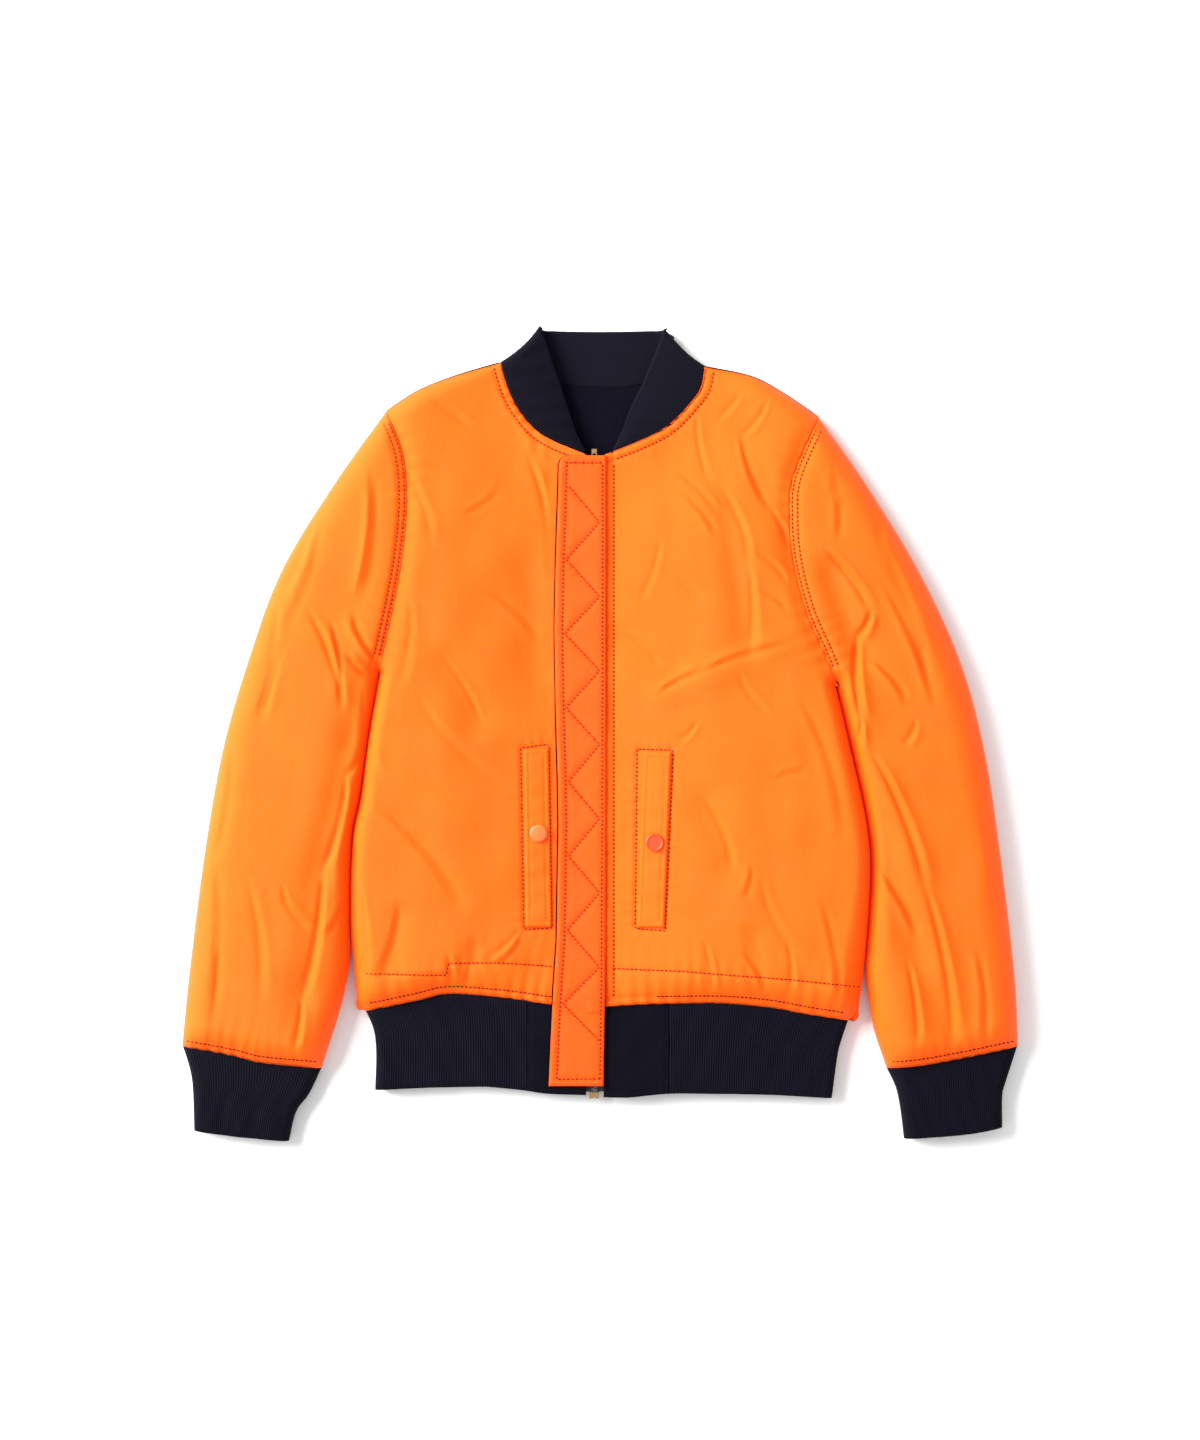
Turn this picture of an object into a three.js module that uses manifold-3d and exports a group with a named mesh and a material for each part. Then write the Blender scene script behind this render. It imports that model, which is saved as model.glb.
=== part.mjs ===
// Bomber jacket, reversible, with its bright padded side out. It lies flat on its back with the front up
// and the zip closed. Millimetres, +Z up, +Y towards the collar. The origin is on the surface that the
// jacket lies on, under the middle of its outline. Right and left are the wearer's, so right lies at -X.
import * as THREE from "three";
import { mergeVertices } from "three/addons/utils/BufferGeometryUtils.js";
import Module from "manifold-3d";

// Walls: padded cloth, doubled rib knit, woven end tabs, zip flap, pocket welts and zip tape.
const PADDED = 4;
const KNIT = 3;
const TAB = 2.5;
const FLAP = 3;
const WELT = 2;
const TAPE = 1;
const GAP = 0.3;

// Heights over the surface: the fold where front turns to back, and the top of each part.
const FOLD_Z = 8.5;
const BODY_TOP = 33;
const ZIP_VALLEY = { drop: 16, x: -20, width: 90 };
const YOKE_DROP = { amount: 0.2, from: 140, over: 140 };
const NECK_TOP = 15;
const NECK_REACH = 85;
const WAIST_TOP = 15;
const WAIST_REACH = 26;
const CUFF_TOP = 17;
const CUFF_REACH = 24;
const COLLAR_EDGE_TOP = 13;
// A fold reaches this far in: over the top as a share of its rise, and under the jacket in millimetres.
const OVER_REACH = 1.15;
const UNDER_REACH = 12;
// Where sleeve and body press on each other, the folds are tighter over the top by this factor. It eases
// off along the side, as shares of its length from the underarm.
const PRESS = { factor: 2, easeFrom: 0.45, easeOver: 0.45 };
// A point nearer to a fold line than this lies on it. Each curve of a fold line has this many stretches.
const ON_FOLD = 0.4;
const FOLD_STRETCHES = 24;

const RIB_PITCH = 5;
const RIB_DEPTH = 0.9;
// Gathers along the hem and the cuffs. The end columns have none at the centre and at the side.
const GATHER = { depth: 1.1, reach: 24, centreColumns: 4, sideColumns: 4 };
const SEAM_DIP = { depth: 3.4, width: 8 };

const ZIP_X = -5;
// The end tabs of the waistband, from the zip to the rib, and the rib's far ends.
const TAB_START = { right: -12, left: 3 };
const TAB_END = { right: -63, left: 60 };
const RIB_FAR = { right: -202, left: 214 };
// Lengths of the ribbed stretches in front.
const RIB_LENGTH = { cuff: 96, waistRight: 132, waistLeft: 150, collar: 112 };

const ORANGE = 0xff7a1f;
const NAVY = 0x17182a;
const BRASS = 0x8f7a52;
const SNAP_ORANGE = 0xf5813f;

// Outlines in plan, each row an x and a y, on the wearer's right and left.
const SHOULDER = {
  right: [[-86, 320], [-126, 308], [-158, 295], [-184, 278]],
  left: [[92, 316], [130, 308], [157, 294], [188, 273]],
};
const ARMHOLE = {
  right: [[-190, 52], [-182, 83], [-170, 143], [-165, 198], [-169, 242], [-184, 278]],
  left: [[203, 42], [192, 68], [176, 105], [165, 148], [162, 185], [165, 220], [188, 273]],
};
const SIDE = {
  right: [[-202, -239], [-209, -225], [-215, -160], [-213, -90], [-206, -53], [-199, -1], [-190, 52]],
  left: [[214, -247], [222, -236], [229, -187], [233, -118], [229, -72], [215, -9], [203, 42]],
};
const NECKLINE = {
  right: [[-12, 240], [-27, 246], [-41, 252], [-56, 262], [-70, 279], [-79, 297], [-86, 320]],
  left: [[6, 240], [19, 245], [34, 251], [51, 259], [65, 269], [79, 284], [88, 297], [92, 316]],
};
const HEM = {
  right: [[-12, -234], [-42, -233], [-85, -227], [-129, -224], [-154, -229], [-182, -235], [-202, -239]],
  left: [[6, -235], [39, -233], [94, -232], [121, -233], [149, -236], [176, -241], [214, -247]],
};
const SLEEVE_OUTER = {
  right: [[-184, 278], [-227, 218], [-274, 141], [-303, 63], [-325, -14], [-341, -105], [-354, -208],
    [-360, -269]],
  left: [[188, 273], [227, 218], [274, 141], [310, 63], [331, -14], [345, -105], [357, -208], [360, -269]],
};
const SLEEVE_INNER = {
  right: [[-190, 52], [-200.2, -1], [-207.2, -53], [-214.2, -90], [-216.2, -160], [-215.5, -195],
    [-223, -234], [-240, -288]],
  left: [[203, 42], [216.2, -9], [230.2, -72], [234.2, -118], [230.4, -187], [228.6, -206],
    [235, -250], [247, -288]],
};
const CUFF_SEAM = {
  right: [[-360, -269], [-316, -277], [-291, -283], [-240, -288]],
  left: [[360, -269], [308, -280], [272, -286], [247, -288]],
};
const CUFF_OUTER = {
  right: [[-360, -269], [-352, -298], [-350, -342]],
  left: [[360, -269], [350, -300], [347, -312], [347, -339]],
};
const CUFF_INNER = {
  right: [[-240, -288], [-251, -311], [-262, -326], [-268, -351]],
  left: [[247, -288], [255, -305], [259, -324], [262, -349]],
};
const CUFF_END = {
  right: [[-350, -342], [-310, -347], [-268, -351]],
  left: [[347, -339], [314, -345], [262, -349]],
};
const RIB_SIDE = {
  right: [[-202, -239], [-195, -256], [-193, -277], [-194, -307]],
  left: [[214, -247], [209, -262], [205, -277], [200, -314]],
};
const RIB_END = {
  right: [[-12, -311], [-44, -310], [-66, -307], [-113, -303], [-154, -305], [-194, -307]],
  left: [[3, -313], [26, -313], [58, -310], [94, -310], [149, -311], [200, -314]],
};
const BACK_HEM = [[-202, -239], [-182, -235], [-140, -234], [0, -238], [140, -237], [176, -241], [214, -247]];
const BACK_RIB_END = [[-194, -307], [0, -305], [200, -314]];
const BACK_NECK = [[-86, 320], [-60, 307], [-33, 301], [12, 298], [36, 301], [65, 306], [92, 316]];
const COLLAR_FOLD = {
  right: [[-86, 320], [-73, 329], [-61, 340], [-52, 351.5]],
  left: [[92, 316], [80, 324], [70, 333], [55.5, 349]],
};
const COLLAR_FREE = {
  right: [[-12.5, 243.5], [-20, 258], [-27, 278], [-34, 300], [-41, 320], [-52, 351.5]],
  left: [[11, 244], [19, 261], [27, 282], [36, 300], [45, 322], [55.5, 349]],
};
const COLLAR_TOP = [[-52, 351.5], [-45, 348], [3, 347], [51, 348], [55.5, 349]];

// The zip flap's two long edges at each height.
const FLAP_SECTIONS = table(["y", "outer", "inner"], [
  [-303, -44, 3], [-259, -42, 3.6], [-221, -40, 4.2], [-178, -37, 4.5], [-79, -35.5, 4.8],
  [-40, -36, 4.9], [29, -38, 5], [89, -39, 5], [140, -38, 5.1], [200, -36, 5.2], [231, -35.3, 5.3],
  [236, -33.5, 5.4], [239, -28, 5.4],
]);
// Its zigzag of stitching: heights of its turns, where it turns, and the pillows between its lines.
const ZIGZAG = { first: 213, period: 63.6, turns: 8, outer: -29, inner: 1, groove: 1, half: 4, lean: 0.73 };
const FLAP_COLUMNS = [0, 0.13, 0.2, 0.37, 0.53, 0.7, 0.87, 0.93, 1];
const FLAP_END_ROWS = { low: -299, lowClear: 8, high: [225, 231, 236] };

// How far along x and y a stiff piece bridges the hollows under it.
const BRIDGE = { flap: [4, 6], snap: [8, 12], zip: [6, 14] };

// The snap's cap, as radius and height rows, and the sides of its round.
const SNAP_PROFILE = [[0, 0], [6.9, 0], [7.7, 0.8], [7.5, 1.7], [6.6, 2.1], [5.6, 1.7], [3, 1.9], [0, 2]];
const SNAP_SIDES = 20;
const SNAP_CLEAR = 0.1;

// Pocket welts: corners at the top and the bottom, and the snap's place.
const WELT_COLUMNS = [
  "name", "topOuter", "topInner", "topY", "endOuter", "endInner", "endY", "snapX", "snapY",
];
const WELTS = table(WELT_COLUMNS, [
  ["right", -65.4, -43.9, -13, -63.6, -41.3, -166.5, -53.3, -85.6],
  ["left", 37, 61.1, -16, 31.8, 55, -166.5, 47.3, -93.3],
]);

// The largest folds: a soft trough, or a ridge where the depth is negative, from one point to another.
const FOLDS = table(["x0", "y0", "x1", "y1", "width", "depth"], [
  [-196, 62, -212, -10, 13, 4.5], [-212, -10, -240, -120, 14, 4], [-240, -120, -258, -250, 13, 3],
  [-262, 150, -300, -10, 16, 2.2], [-330, -110, -333, -230, 12, 2],
  [-135, 66, -100, 5, 14, 2.4], [-157, -90, -118, -146, 12, 2], [-60, 150, -52, 20, 16, 2.4],
  [119, 258, 164, 160, 13, 3], [106, 209, 128, 66, 12, 3], [50, 31, 154, 75, 14, -2.6],
  [17, 86, 67, 50, 12, 2], [88, -53, 113, -118, 13, 2.4], [196, 143, 224, 60, 12, 4.5],
  [226, -44, 272, -187, 14, 4], [272, -187, 303, -264, 12, 3], [245, -44, 297, -228, 15, -2.5],
  [-170, -150, -182, -215, 10, 2.2], [130, -170, 139, -228, 9, 2.2], [-107, -180, -120, -222, 8, 2],
]);

// Where the columns and rows of a grid lie, from 0 to 1. They are closer at the folds.
const FOLD_STEPS = [0, 0.01, 0.04, 0.09, 0.17, 0.27, 0.38, 0.5, 0.62, 0.73, 0.83, 0.91, 0.96, 0.99, 1];
const SIDE_STEPS = [0, 0.02, 0.05, 0.1, 0.2, 0.34, 0.5, 0.66, 0.82, 0.93];
const FRONT_LEVEL = { steps: 14, share: 0.88 };
const FRONT_COLUMNS = [
  ...even(FRONT_LEVEL.steps).map((t) => t * FRONT_LEVEL.share), 0.92, 0.95, 0.975, 0.992, 1,
];
const BACK_COLUMNS = [
  0, 0.004, 0.016, 0.035, 0.065, 0.1, 0.2, 0.42, 0.5, 0.58, 0.8, 0.9, 0.935, 0.965, 0.984, 0.996, 1,
];
const SLEEVE_ROWS = [0, 0.05, 0.13, 0.23, 0.34, 0.45, 0.56, 0.67, 0.78, 0.87, 0.93, 0.965, 0.985, 1];
// A sleeve's rows crowd together at the underarm: its inner edge is shared out by this power.
const UNDERARM_CROWD = 1.9;
const SIDE_SHARE = 0.5;
const NECK_SHARE = 0.55;
const BACK_NECK_SHARE = { from: 0.3, to: 0.7 };
const RIB_ROWS = [0, 0.5, 1];
// The collar starts at this share of each front neckline.
const COLLAR_START = 0.03;
const COLLAR_UNDER_STEPS = [0, 0.03, 0.08, 0.16, 0.28, 0.42, 0.58, 0.72, 0.84, 0.92, 0.97, 1];

const SIDES = ["right", "left"];

// A table's rows as objects, by the names of its columns.
function table(names, rows) {
  return rows.map((row) => Object.fromEntries(names.map((name, i) => [name, row[i]])));
}

// Numbers from 0 to 1 in equal steps.
function even(steps) {
  return Array.from({ length: steps + 1 }, (_, i) => i / steps);
}

function mix(from, to, t) {
  return from + (to - from) * t;
}

function clamp01(t) {
  return Math.min(1, Math.max(0, t));
}

function smooth(t) {
  return clamp01(t) ** 2 * (3 - 2 * clamp01(t));
}

// A smooth curve through plan points, as a function of the share of its length.
function curve(points) {
  const spline = new THREE.SplineCurve(points.map(([x, y]) => new THREE.Vector2(x, y)));
  spline.arcLengthDivisions = 400;
  return (t) => spline.getPointAt(clamp01(t));
}

function line(from, to) {
  return (t) => from.clone().lerp(to, t);
}

function reversed(along) {
  return (t) => along(1 - t);
}

function part(along, from, to) {
  return (t) => along(mix(from, to, t));
}

// Two curves end to end, the first taking the given share.
function chain(first, second, share) {
  return (t) => (t < share ? first(t / share) : second((t - share) / (1 - share)));
}

// A curve as straight stretches between the steps, so that a finer neighbour meets a coarser one exactly.
function faceted(along, steps) {
  const points = steps.map((t) => along(t));
  return (t) => {
    const i = Math.max(1, steps.findIndex((step) => step >= t - 1e-9));
    return points[i - 1].clone().lerp(points[i], clamp01((t - steps[i - 1]) / (steps[i] - steps[i - 1])));
  };
}

// The patch between four edges: near and far run along a, start and end along b.
function patch(near, far, start, end) {
  const corners = [near(0), near(1), far(0), far(1)];
  return (a, b) => {
    const p = near(a).multiplyScalar(1 - b).addScaledVector(far(a), b);
    p.addScaledVector(start(b), 1 - a).addScaledVector(end(b), a);
    p.addScaledVector(corners[0], -(1 - a) * (1 - b)).addScaledVector(corners[1], -a * (1 - b));
    return p.addScaledVector(corners[2], -(1 - a) * b).addScaledVector(corners[3], -a * b);
  };
}

// A fold line as short straight stretches with each stretch's inward direction. Its first piece is pressed
// where asked, which eases off towards the hem and the cuff.
function foldLine(pieces, inside, pressed = false) {
  const eased = (t) => mix(PRESS.factor, 1, smooth((t - PRESS.easeFrom) / PRESS.easeOver));
  const points = pieces.flatMap((along, i) => even(FOLD_STRETCHES).map((t) => ({
    place: along(t),
    press: pressed && i === 0 ? eased(t) : 1,
  })));
  const stretches = [];
  points.slice(1).forEach(({ place: to, press }, i) => {
    const from = points[i].place;
    if (from.distanceTo(to) < 1e-3) return;
    const inward = new THREE.Vector2(from.y - to.y, to.x - from.x).normalize().multiplyScalar(inside);
    stretches.push({ from, to, inward, press });
  });
  return stretches;
}

// The nearest point of any fold line: how far it is, and the way inwards from it. Both count more where
// the fold is pressed.
function nearest(lines, p) {
  let best = { distance: Infinity };
  for (const stretch of lines.flat()) {
    const run = stretch.to.clone().sub(stretch.from);
    const t = clamp01(p.clone().sub(stretch.from).dot(run) / run.lengthSq());
    const off = p.clone().sub(stretch.from).addScaledVector(run, -t);
    const distance = off.length() * stretch.press;
    if (distance < best.distance - 1e-9) {
      const inward = off.length() > ON_FOLD ? off.normalize() : stretch.inward.clone();
      inward.multiplyScalar(stretch.press);
      best = { distance, inward, press: stretch.press, folded: off.length() < ON_FOLD };
    }
  }
  return best;
}

const OUTLINES = {
  SHOULDER, ARMHOLE, SIDE, NECKLINE, HEM, SLEEVE_OUTER, SLEEVE_INNER, CUFF_SEAM,
  CUFF_OUTER, CUFF_INNER, CUFF_END, RIB_SIDE, RIB_END, COLLAR_FOLD, COLLAR_FREE,
};
const edge = {};
for (const [name, sides] of Object.entries(OUTLINES)) {
  edge[name] = { right: curve(sides.right), left: curve(sides.left) };
}
const turn = { right: -1, left: 1 };
const outerFold = {};
const bodyFold = {};
const innerFold = {};
const collarFold = {};
for (const side of SIDES) {
  const inside = turn[side];
  outerFold[side] = foldLine([edge.SHOULDER[side], edge.SLEEVE_OUTER[side], edge.CUFF_OUTER[side]], -inside);
  bodyFold[side] = foldLine([reversed(edge.SIDE[side]), edge.RIB_SIDE[side]], -inside, true);
  innerFold[side] = foldLine([edge.SLEEVE_INNER[side], edge.CUFF_INNER[side]], inside, true);
  collarFold[side] = foldLine([edge.COLLAR_FOLD[side]], inside);
}
const bodyFolds = [outerFold.right, outerFold.left, bodyFold.right, bodyFold.left];
const seamLine = (sides) => SIDES.map((side) => foldLine([sides[side]], 1));
const neckSeams = seamLine(edge.NECKLINE);
const hemSeams = seamLine(edge.HEM);
const cuffSeams = seamLine(edge.CUFF_SEAM);
const armSeams = seamLine(edge.ARMHOLE);

// How deep the named folds press the cloth in at a point.
function foldDepth(p) {
  return FOLDS.reduce((sum, f) => {
    const run = new THREE.Vector2(f.x1 - f.x0, f.y1 - f.y0);
    const off = new THREE.Vector2(p.x - f.x0, p.y - f.y0);
    const t = off.dot(run) / run.lengthSq();
    const across = Math.abs(off.cross(run)) / run.length();
    const fade = smooth(t * 3 + 0.6) * smooth((1 - t) * 3 + 0.6);
    return sum + f.depth * Math.exp(-((across / f.width) ** 2)) * fade;
  }, 0);
}

// The top of the padded front and sleeves, before the edges fold under.
function paddedTop(p) {
  let top = BODY_TOP - ZIP_VALLEY.drop * Math.exp(-(((p.x - ZIP_VALLEY.x) / ZIP_VALLEY.width) ** 2));
  top *= 1 - YOKE_DROP.amount * smooth((p.y - YOKE_DROP.from) / YOKE_DROP.over);
  top = mix(NECK_TOP, top, smooth(nearest(neckSeams, p).distance / NECK_REACH));
  const dip = SEAM_DIP.depth * Math.exp(-((nearest(armSeams, p).distance / SEAM_DIP.width) ** 2));
  return top - dip - foldDepth(p) * smooth(nearest(neckSeams, p).distance / NECK_REACH);
}

function overSeam(seams, low, reach) {
  return (p) => mix(low, paddedTop(p), Math.sin((clamp01(nearest(seams, p).distance / reach) * Math.PI) / 2));
}

const bodyTop = overSeam(hemSeams, WAIST_TOP, WAIST_REACH);
const sleeveTop = overSeam(cuffSeams, CUFF_TOP, CUFF_REACH);

// The top under the flap and the zip, which run on over the waistband.
function middleTop(p) {
  return p.y > HEM.right[0][1] ? bodyTop(p) : WAIST_TOP;
}

// A point of the draped cloth over or under the jacket, with the way outwards.
function drape(sheet, p, folds, top) {
  const over = sheet === "over";
  const { distance, inward, press, folded } = nearest(folds, p);
  const rise = over ? Math.max(top(p) - FOLD_Z, 2) : FOLD_Z;
  const reach = over ? rise * OVER_REACH : UNDER_REACH * press;
  const angle = Math.acos(Math.max(0, 1 - distance / reach));
  const slope = new THREE.Vector2();
  if (over) {
    const step = 0.5;
    slope.x = top(new THREE.Vector2(p.x + step, p.y)) - top(new THREE.Vector2(p.x - step, p.y));
    slope.y = top(new THREE.Vector2(p.x, p.y + step)) - top(new THREE.Vector2(p.x, p.y - step));
    slope.multiplyScalar(Math.sin(angle) ** 2 / rise);
  }
  const flat = inward.clone().multiplyScalar(-Math.cos(angle) / reach).sub(slope);
  const up = (Math.sin(angle) / rise) * (over ? 1 : -1);
  return {
    point: new THREE.Vector3(p.x, p.y, FOLD_Z + (over ? 1 : -1) * rise * Math.sin(angle)),
    normal: new THREE.Vector3(flat.x, flat.y, up).normalize(),
    folded,
  };
}

// Which side of a seam its panel lies on, judged at the seam's middle.
function inwardSide(plan, a, b, seam) {
  const middle = ((seam.from ?? 0) + (seam.to ?? 1)) / 2;
  const place = (t, inset) => (seam.along === "a"
    ? plan(t, mix(b, 0.5, inset))
    : plan(mix(a, 0.5, inset), t));
  const run = place(middle + 0.01, 0).sub(place(middle - 0.01, 0));
  const inner = place(middle, 0.04).sub(place(middle, 0));
  return run.cross(inner) < 0 ? -1 : 1;
}

// Keeps a seam's edge upright: the wall's thickness lies in the plane of the seam, and the edge draws
// back from it by half a gap. The seam runs along a or b between two ends.
function squareOff(made, plan, a, b, seam) {
  const step = 0.002;
  const at = seam.along === "a" ? a : b;
  const lo = Math.max(seam.from ?? 0, at - step);
  const hi = Math.min(seam.to ?? 1, at + step);
  const place = (t) => (seam.along === "a" ? plan(t, b) : plan(a, t));
  const tangent = place(hi).sub(place(lo)).normalize();
  const away = at < (lo + hi) / 2 + 1e-9 && at <= (seam.from ?? 0) + 1e-9 ? -1 : 1;
  if (made.folded) {
    made.normal.set(tangent.x * away, tangent.y * away, 0);
  } else {
    const along = made.normal.x * tangent.x + made.normal.y * tangent.y;
    made.normal.set(tangent.x * along, tangent.y * along, made.normal.z).normalize();
  }
  const across = new THREE.Vector2(-tangent.y, tangent.x);
  const inwards = inwardSide(plan, a, b, seam);
  made.point.x += (across.x * inwards * (seam.gap ?? GAP)) / 2;
  made.point.y += (across.y * inwards * (seam.gap ?? GAP)) / 2;
}

function meshOf(name, positions, faces, color, roughness, metalness) {
  const geometry = new THREE.BufferGeometry();
  geometry.setAttribute("position", new THREE.Float32BufferAttribute(positions, 3));
  geometry.setIndex(faces);
  geometry.computeVertexNormals();
  const mesh = new THREE.Mesh(geometry, new THREE.MeshStandardMaterial({ color, roughness, metalness }));
  mesh.name = name;
  return mesh;
}

function volumeOf(positions, faces) {
  const corner = (i) => new THREE.Vector3().fromArray(positions, faces[i] * 3);
  let sum = 0;
  for (let i = 0; i < faces.length; i += 3) sum += corner(i).dot(corner(i + 1).cross(corner(i + 2)));
  return sum;
}

// A closed wall from a grid of outer points and outward directions. Relief raises an outer point only.
function wallMesh(name, grid, wall, color, { wrap = false, relief = () => 0 } = {}) {
  const columns = grid.length;
  const rows = grid[0].length;
  const positions = [];
  for (const inner of [false, true]) {
    grid.forEach((column, i) => column.forEach(({ point, normal }, j) => {
      positions.push(...point.clone().addScaledVector(normal, inner ? -wall : relief(i, j)).toArray());
    }));
  }
  const at = (i, j, inner) => (inner ? columns * rows : 0) + (i % columns) * rows + j;
  const faces = [];
  const quad = (a, b, c, d) => faces.push(a, b, c, a, c, d);
  const spans = wrap ? columns : columns - 1;
  for (let i = 0; i < spans; i++) {
    for (let j = 0; j < rows - 1; j++) {
      quad(at(i, j), at(i + 1, j), at(i + 1, j + 1), at(i, j + 1));
      quad(at(i, j, true), at(i, j + 1, true), at(i + 1, j + 1, true), at(i + 1, j, true));
    }
    quad(at(i, 0, true), at(i + 1, 0, true), at(i + 1, 0), at(i, 0));
    quad(at(i, rows - 1), at(i + 1, rows - 1), at(i + 1, rows - 1, true), at(i, rows - 1, true));
  }
  for (let j = 0; j < rows - 1 && !wrap; j++) {
    quad(at(0, j), at(0, j + 1), at(0, j + 1, true), at(0, j, true));
    quad(at(columns - 1, j, true), at(columns - 1, j + 1, true), at(columns - 1, j + 1), at(columns - 1, j));
  }
  if (volumeOf(positions, faces) < 0) faces.reverse();
  return meshOf(name, positions, faces, color, 0.6, 0);
}

// The grid of a cloth piece: each column has its patch, its sheet and its place across the patch.
function clothGrid(columns, rows, folds, top, seamAt, lift = 0) {
  return columns.map(({ plan, sheet, a }) => rows.map((b) => {
    const made = drape(sheet, plan(a, b), folds, (p) => top(p, a, b));
    const seam = seamAt(a, b, sheet);
    if (seam === "level") {
      made.point.z = FOLD_Z + (sheet === "over" ? lift : -lift);
      made.normal.z = 0;
      made.normal.normalize();
    } else if (seam) {
      squareOff(made, plan, a, b, seam);
      if (made.folded) made.point.z += sheet === "over" ? lift : -lift;
    }
    return made;
  }));
}

function frontPlan(side) {
  const centreTop = edge.NECKLINE[side](0);
  const hem = faceted(edge.HEM[side], frontColumns);
  const top = chain(edge.NECKLINE[side], edge.SHOULDER[side], NECK_SHARE);
  const outer = chain(edge.SIDE[side], edge.ARMHOLE[side], SIDE_SHARE);
  return patch(hem, top, line(hem(0), centreTop), outer);
}

const ascending = (a, b) => a - b;
const spacedColumns = FRONT_COLUMNS.filter((a) => Math.abs(a - NECK_SHARE) > 0.02);
const frontColumns = [...spacedColumns, NECK_SHARE].sort(ascending);
const backColumns = [...BACK_COLUMNS, BACK_NECK_SHARE.from, BACK_NECK_SHARE.to].sort(ascending);
const armholeRows = FOLD_STEPS.map((t) => SIDE_SHARE + t * (1 - SIDE_SHARE));
const panelRows = [...SIDE_STEPS.map((t) => t * SIDE_SHARE), ...armholeRows];

function flat(point) {
  return new THREE.Vector2(point.x, point.y);
}

// The height of a gather in every other column, which dies away from its seam.
function gather(i, distance) {
  return (i % 2 ? 1 : -1) * GATHER.depth * (1 - clamp01(distance / GATHER.reach));
}

// A front panel: hem and centre edge, then the neckline and shoulder on top, and the side and armhole.
function front(side) {
  const plan = frontPlan(side);
  const seamAt = (a, b) => {
    if (b === 0) return { along: "a" };
    if (b === 1) return a <= NECK_SHARE ? { along: "a", to: NECK_SHARE } : "level";
    if (a === 1) return b >= SIDE_SHARE ? { along: "b", from: SIDE_SHARE } : "level";
    return a === 0 ? { along: "b" } : null;
  };
  const armEnd = { along: "b", from: SIDE_SHARE };
  const corner = (a, b) => (a === 1 && b === 1 ? armEnd : seamAt(a, b));
  const columns = frontColumns.map((a) => ({ plan, sheet: "over", a }));
  const grid = clothGrid(columns, panelRows, bodyFolds, bodyTop, corner, GAP / 2);
  const hemmed = (i, j) => {
    const inset = i >= GATHER.centreColumns && i < columns.length - 1 - GATHER.sideColumns && j > 0;
    return inset ? gather(i, nearest(hemSeams, flat(grid[i][j].point)).distance) : 0;
  };
  return wallMesh(`front_${side}`, grid, PADDED, ORANGE, { relief: hemmed });
}

// The back panel, flat on the surface, with its rim turned up to the side and shoulder seams.
function back() {
  const { from: neckFrom, to: neckTo } = BACK_NECK_SHARE;
  const hem = curve(BACK_HEM);
  const top = (t) => {
    if (t < neckFrom) return edge.SHOULDER.right(1 - t / neckFrom);
    if (t > neckTo) return edge.SHOULDER.left((t - neckTo) / (1 - neckTo));
    return curve(BACK_NECK)((t - neckFrom) / (neckTo - neckFrom));
  };
  const outer = (side) => chain(edge.SIDE[side], edge.ARMHOLE[side], SIDE_SHARE);
  const plan = patch(hem, top, outer("right"), outer("left"));
  const seamAt = (a, b) => {
    const sideEdge = a === 0 || a === 1;
    if (sideEdge && b >= SIDE_SHARE) return { along: "b", from: SIDE_SHARE };
    if (b === 0) return { along: "a" };
    if (b === 1) return a >= neckFrom && a <= neckTo ? { along: "a", ...BACK_NECK_SHARE } : "level";
    return sideEdge ? "level" : null;
  };
  const columns = backColumns.map((a) => ({ plan, sheet: "under", a }));
  const grid = clothGrid(columns, panelRows, bodyFolds, () => 0, seamAt, GAP / 2);
  return wallMesh("back", grid, PADDED, ORANGE);
}

// A tube: over the top from the outer fold to the inner one, and back underneath.
function tubeColumns(plan, over, under) {
  return [
    ...over.map((a) => ({ plan, sheet: "over", a })),
    ...under.slice(1, -1).reverse().map((a) => ({ plan, sheet: "under", a })),
  ];
}

function sleeve(side) {
  const plan = patch(reversed(edge.ARMHOLE[side]), faceted(edge.CUFF_SEAM[side], FOLD_STEPS),
    edge.SLEEVE_OUTER[side], (t) => edge.SLEEVE_INNER[side](t ** UNDERARM_CROWD));
  const mirrored = FOLD_STEPS.map((t) => 1 - t).reverse();
  const columns = tubeColumns(plan, mirrored, mirrored);
  const seamAt = (a, b) => (b === 0 || b === 1 ? { along: "a", gap: 2 * GAP } : null);
  const grid = clothGrid(columns, SLEEVE_ROWS, [outerFold[side], innerFold[side]], sleeveTop, seamAt);
  const gathered = (i, j) => {
    if (i < 3 || i > mirrored.length - 4 || j === SLEEVE_ROWS.length - 1) return 0;
    return gather(i, nearest(cuffSeams, flat(grid[i][j].point)).distance);
  };
  return wallMesh(`sleeve_${side}`, grid, PADDED, ORANGE, { wrap: true, relief: gathered });
}

// Steps for a ribbed stretch of the given length: two for each rib.
function ribSteps(length) {
  return even(2 * Math.round(length / RIB_PITCH));
}

function ribRelief(count) {
  return (i) => (i < count && i % 2 === 0 ? -RIB_DEPTH : 0);
}

function cuff(side) {
  const seam = faceted(edge.CUFF_SEAM[side], FOLD_STEPS);
  const plan = patch(seam, edge.CUFF_END[side], edge.CUFF_OUTER[side], edge.CUFF_INNER[side]);
  const over = ribSteps(RIB_LENGTH.cuff);
  const columns = tubeColumns(plan, over, FOLD_STEPS);
  const seamAt = (a, b) => (b === 0 || b === 1 ? { along: "a" } : null);
  const folds = [outerFold[side], innerFold[side]];
  const grid = clothGrid(columns, RIB_ROWS, folds, () => CUFF_TOP, seamAt);
  return wallMesh(`cuff_${side}`, grid, KNIT, NAVY, { wrap: true, relief: ribRelief(over.length) });
}

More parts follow.
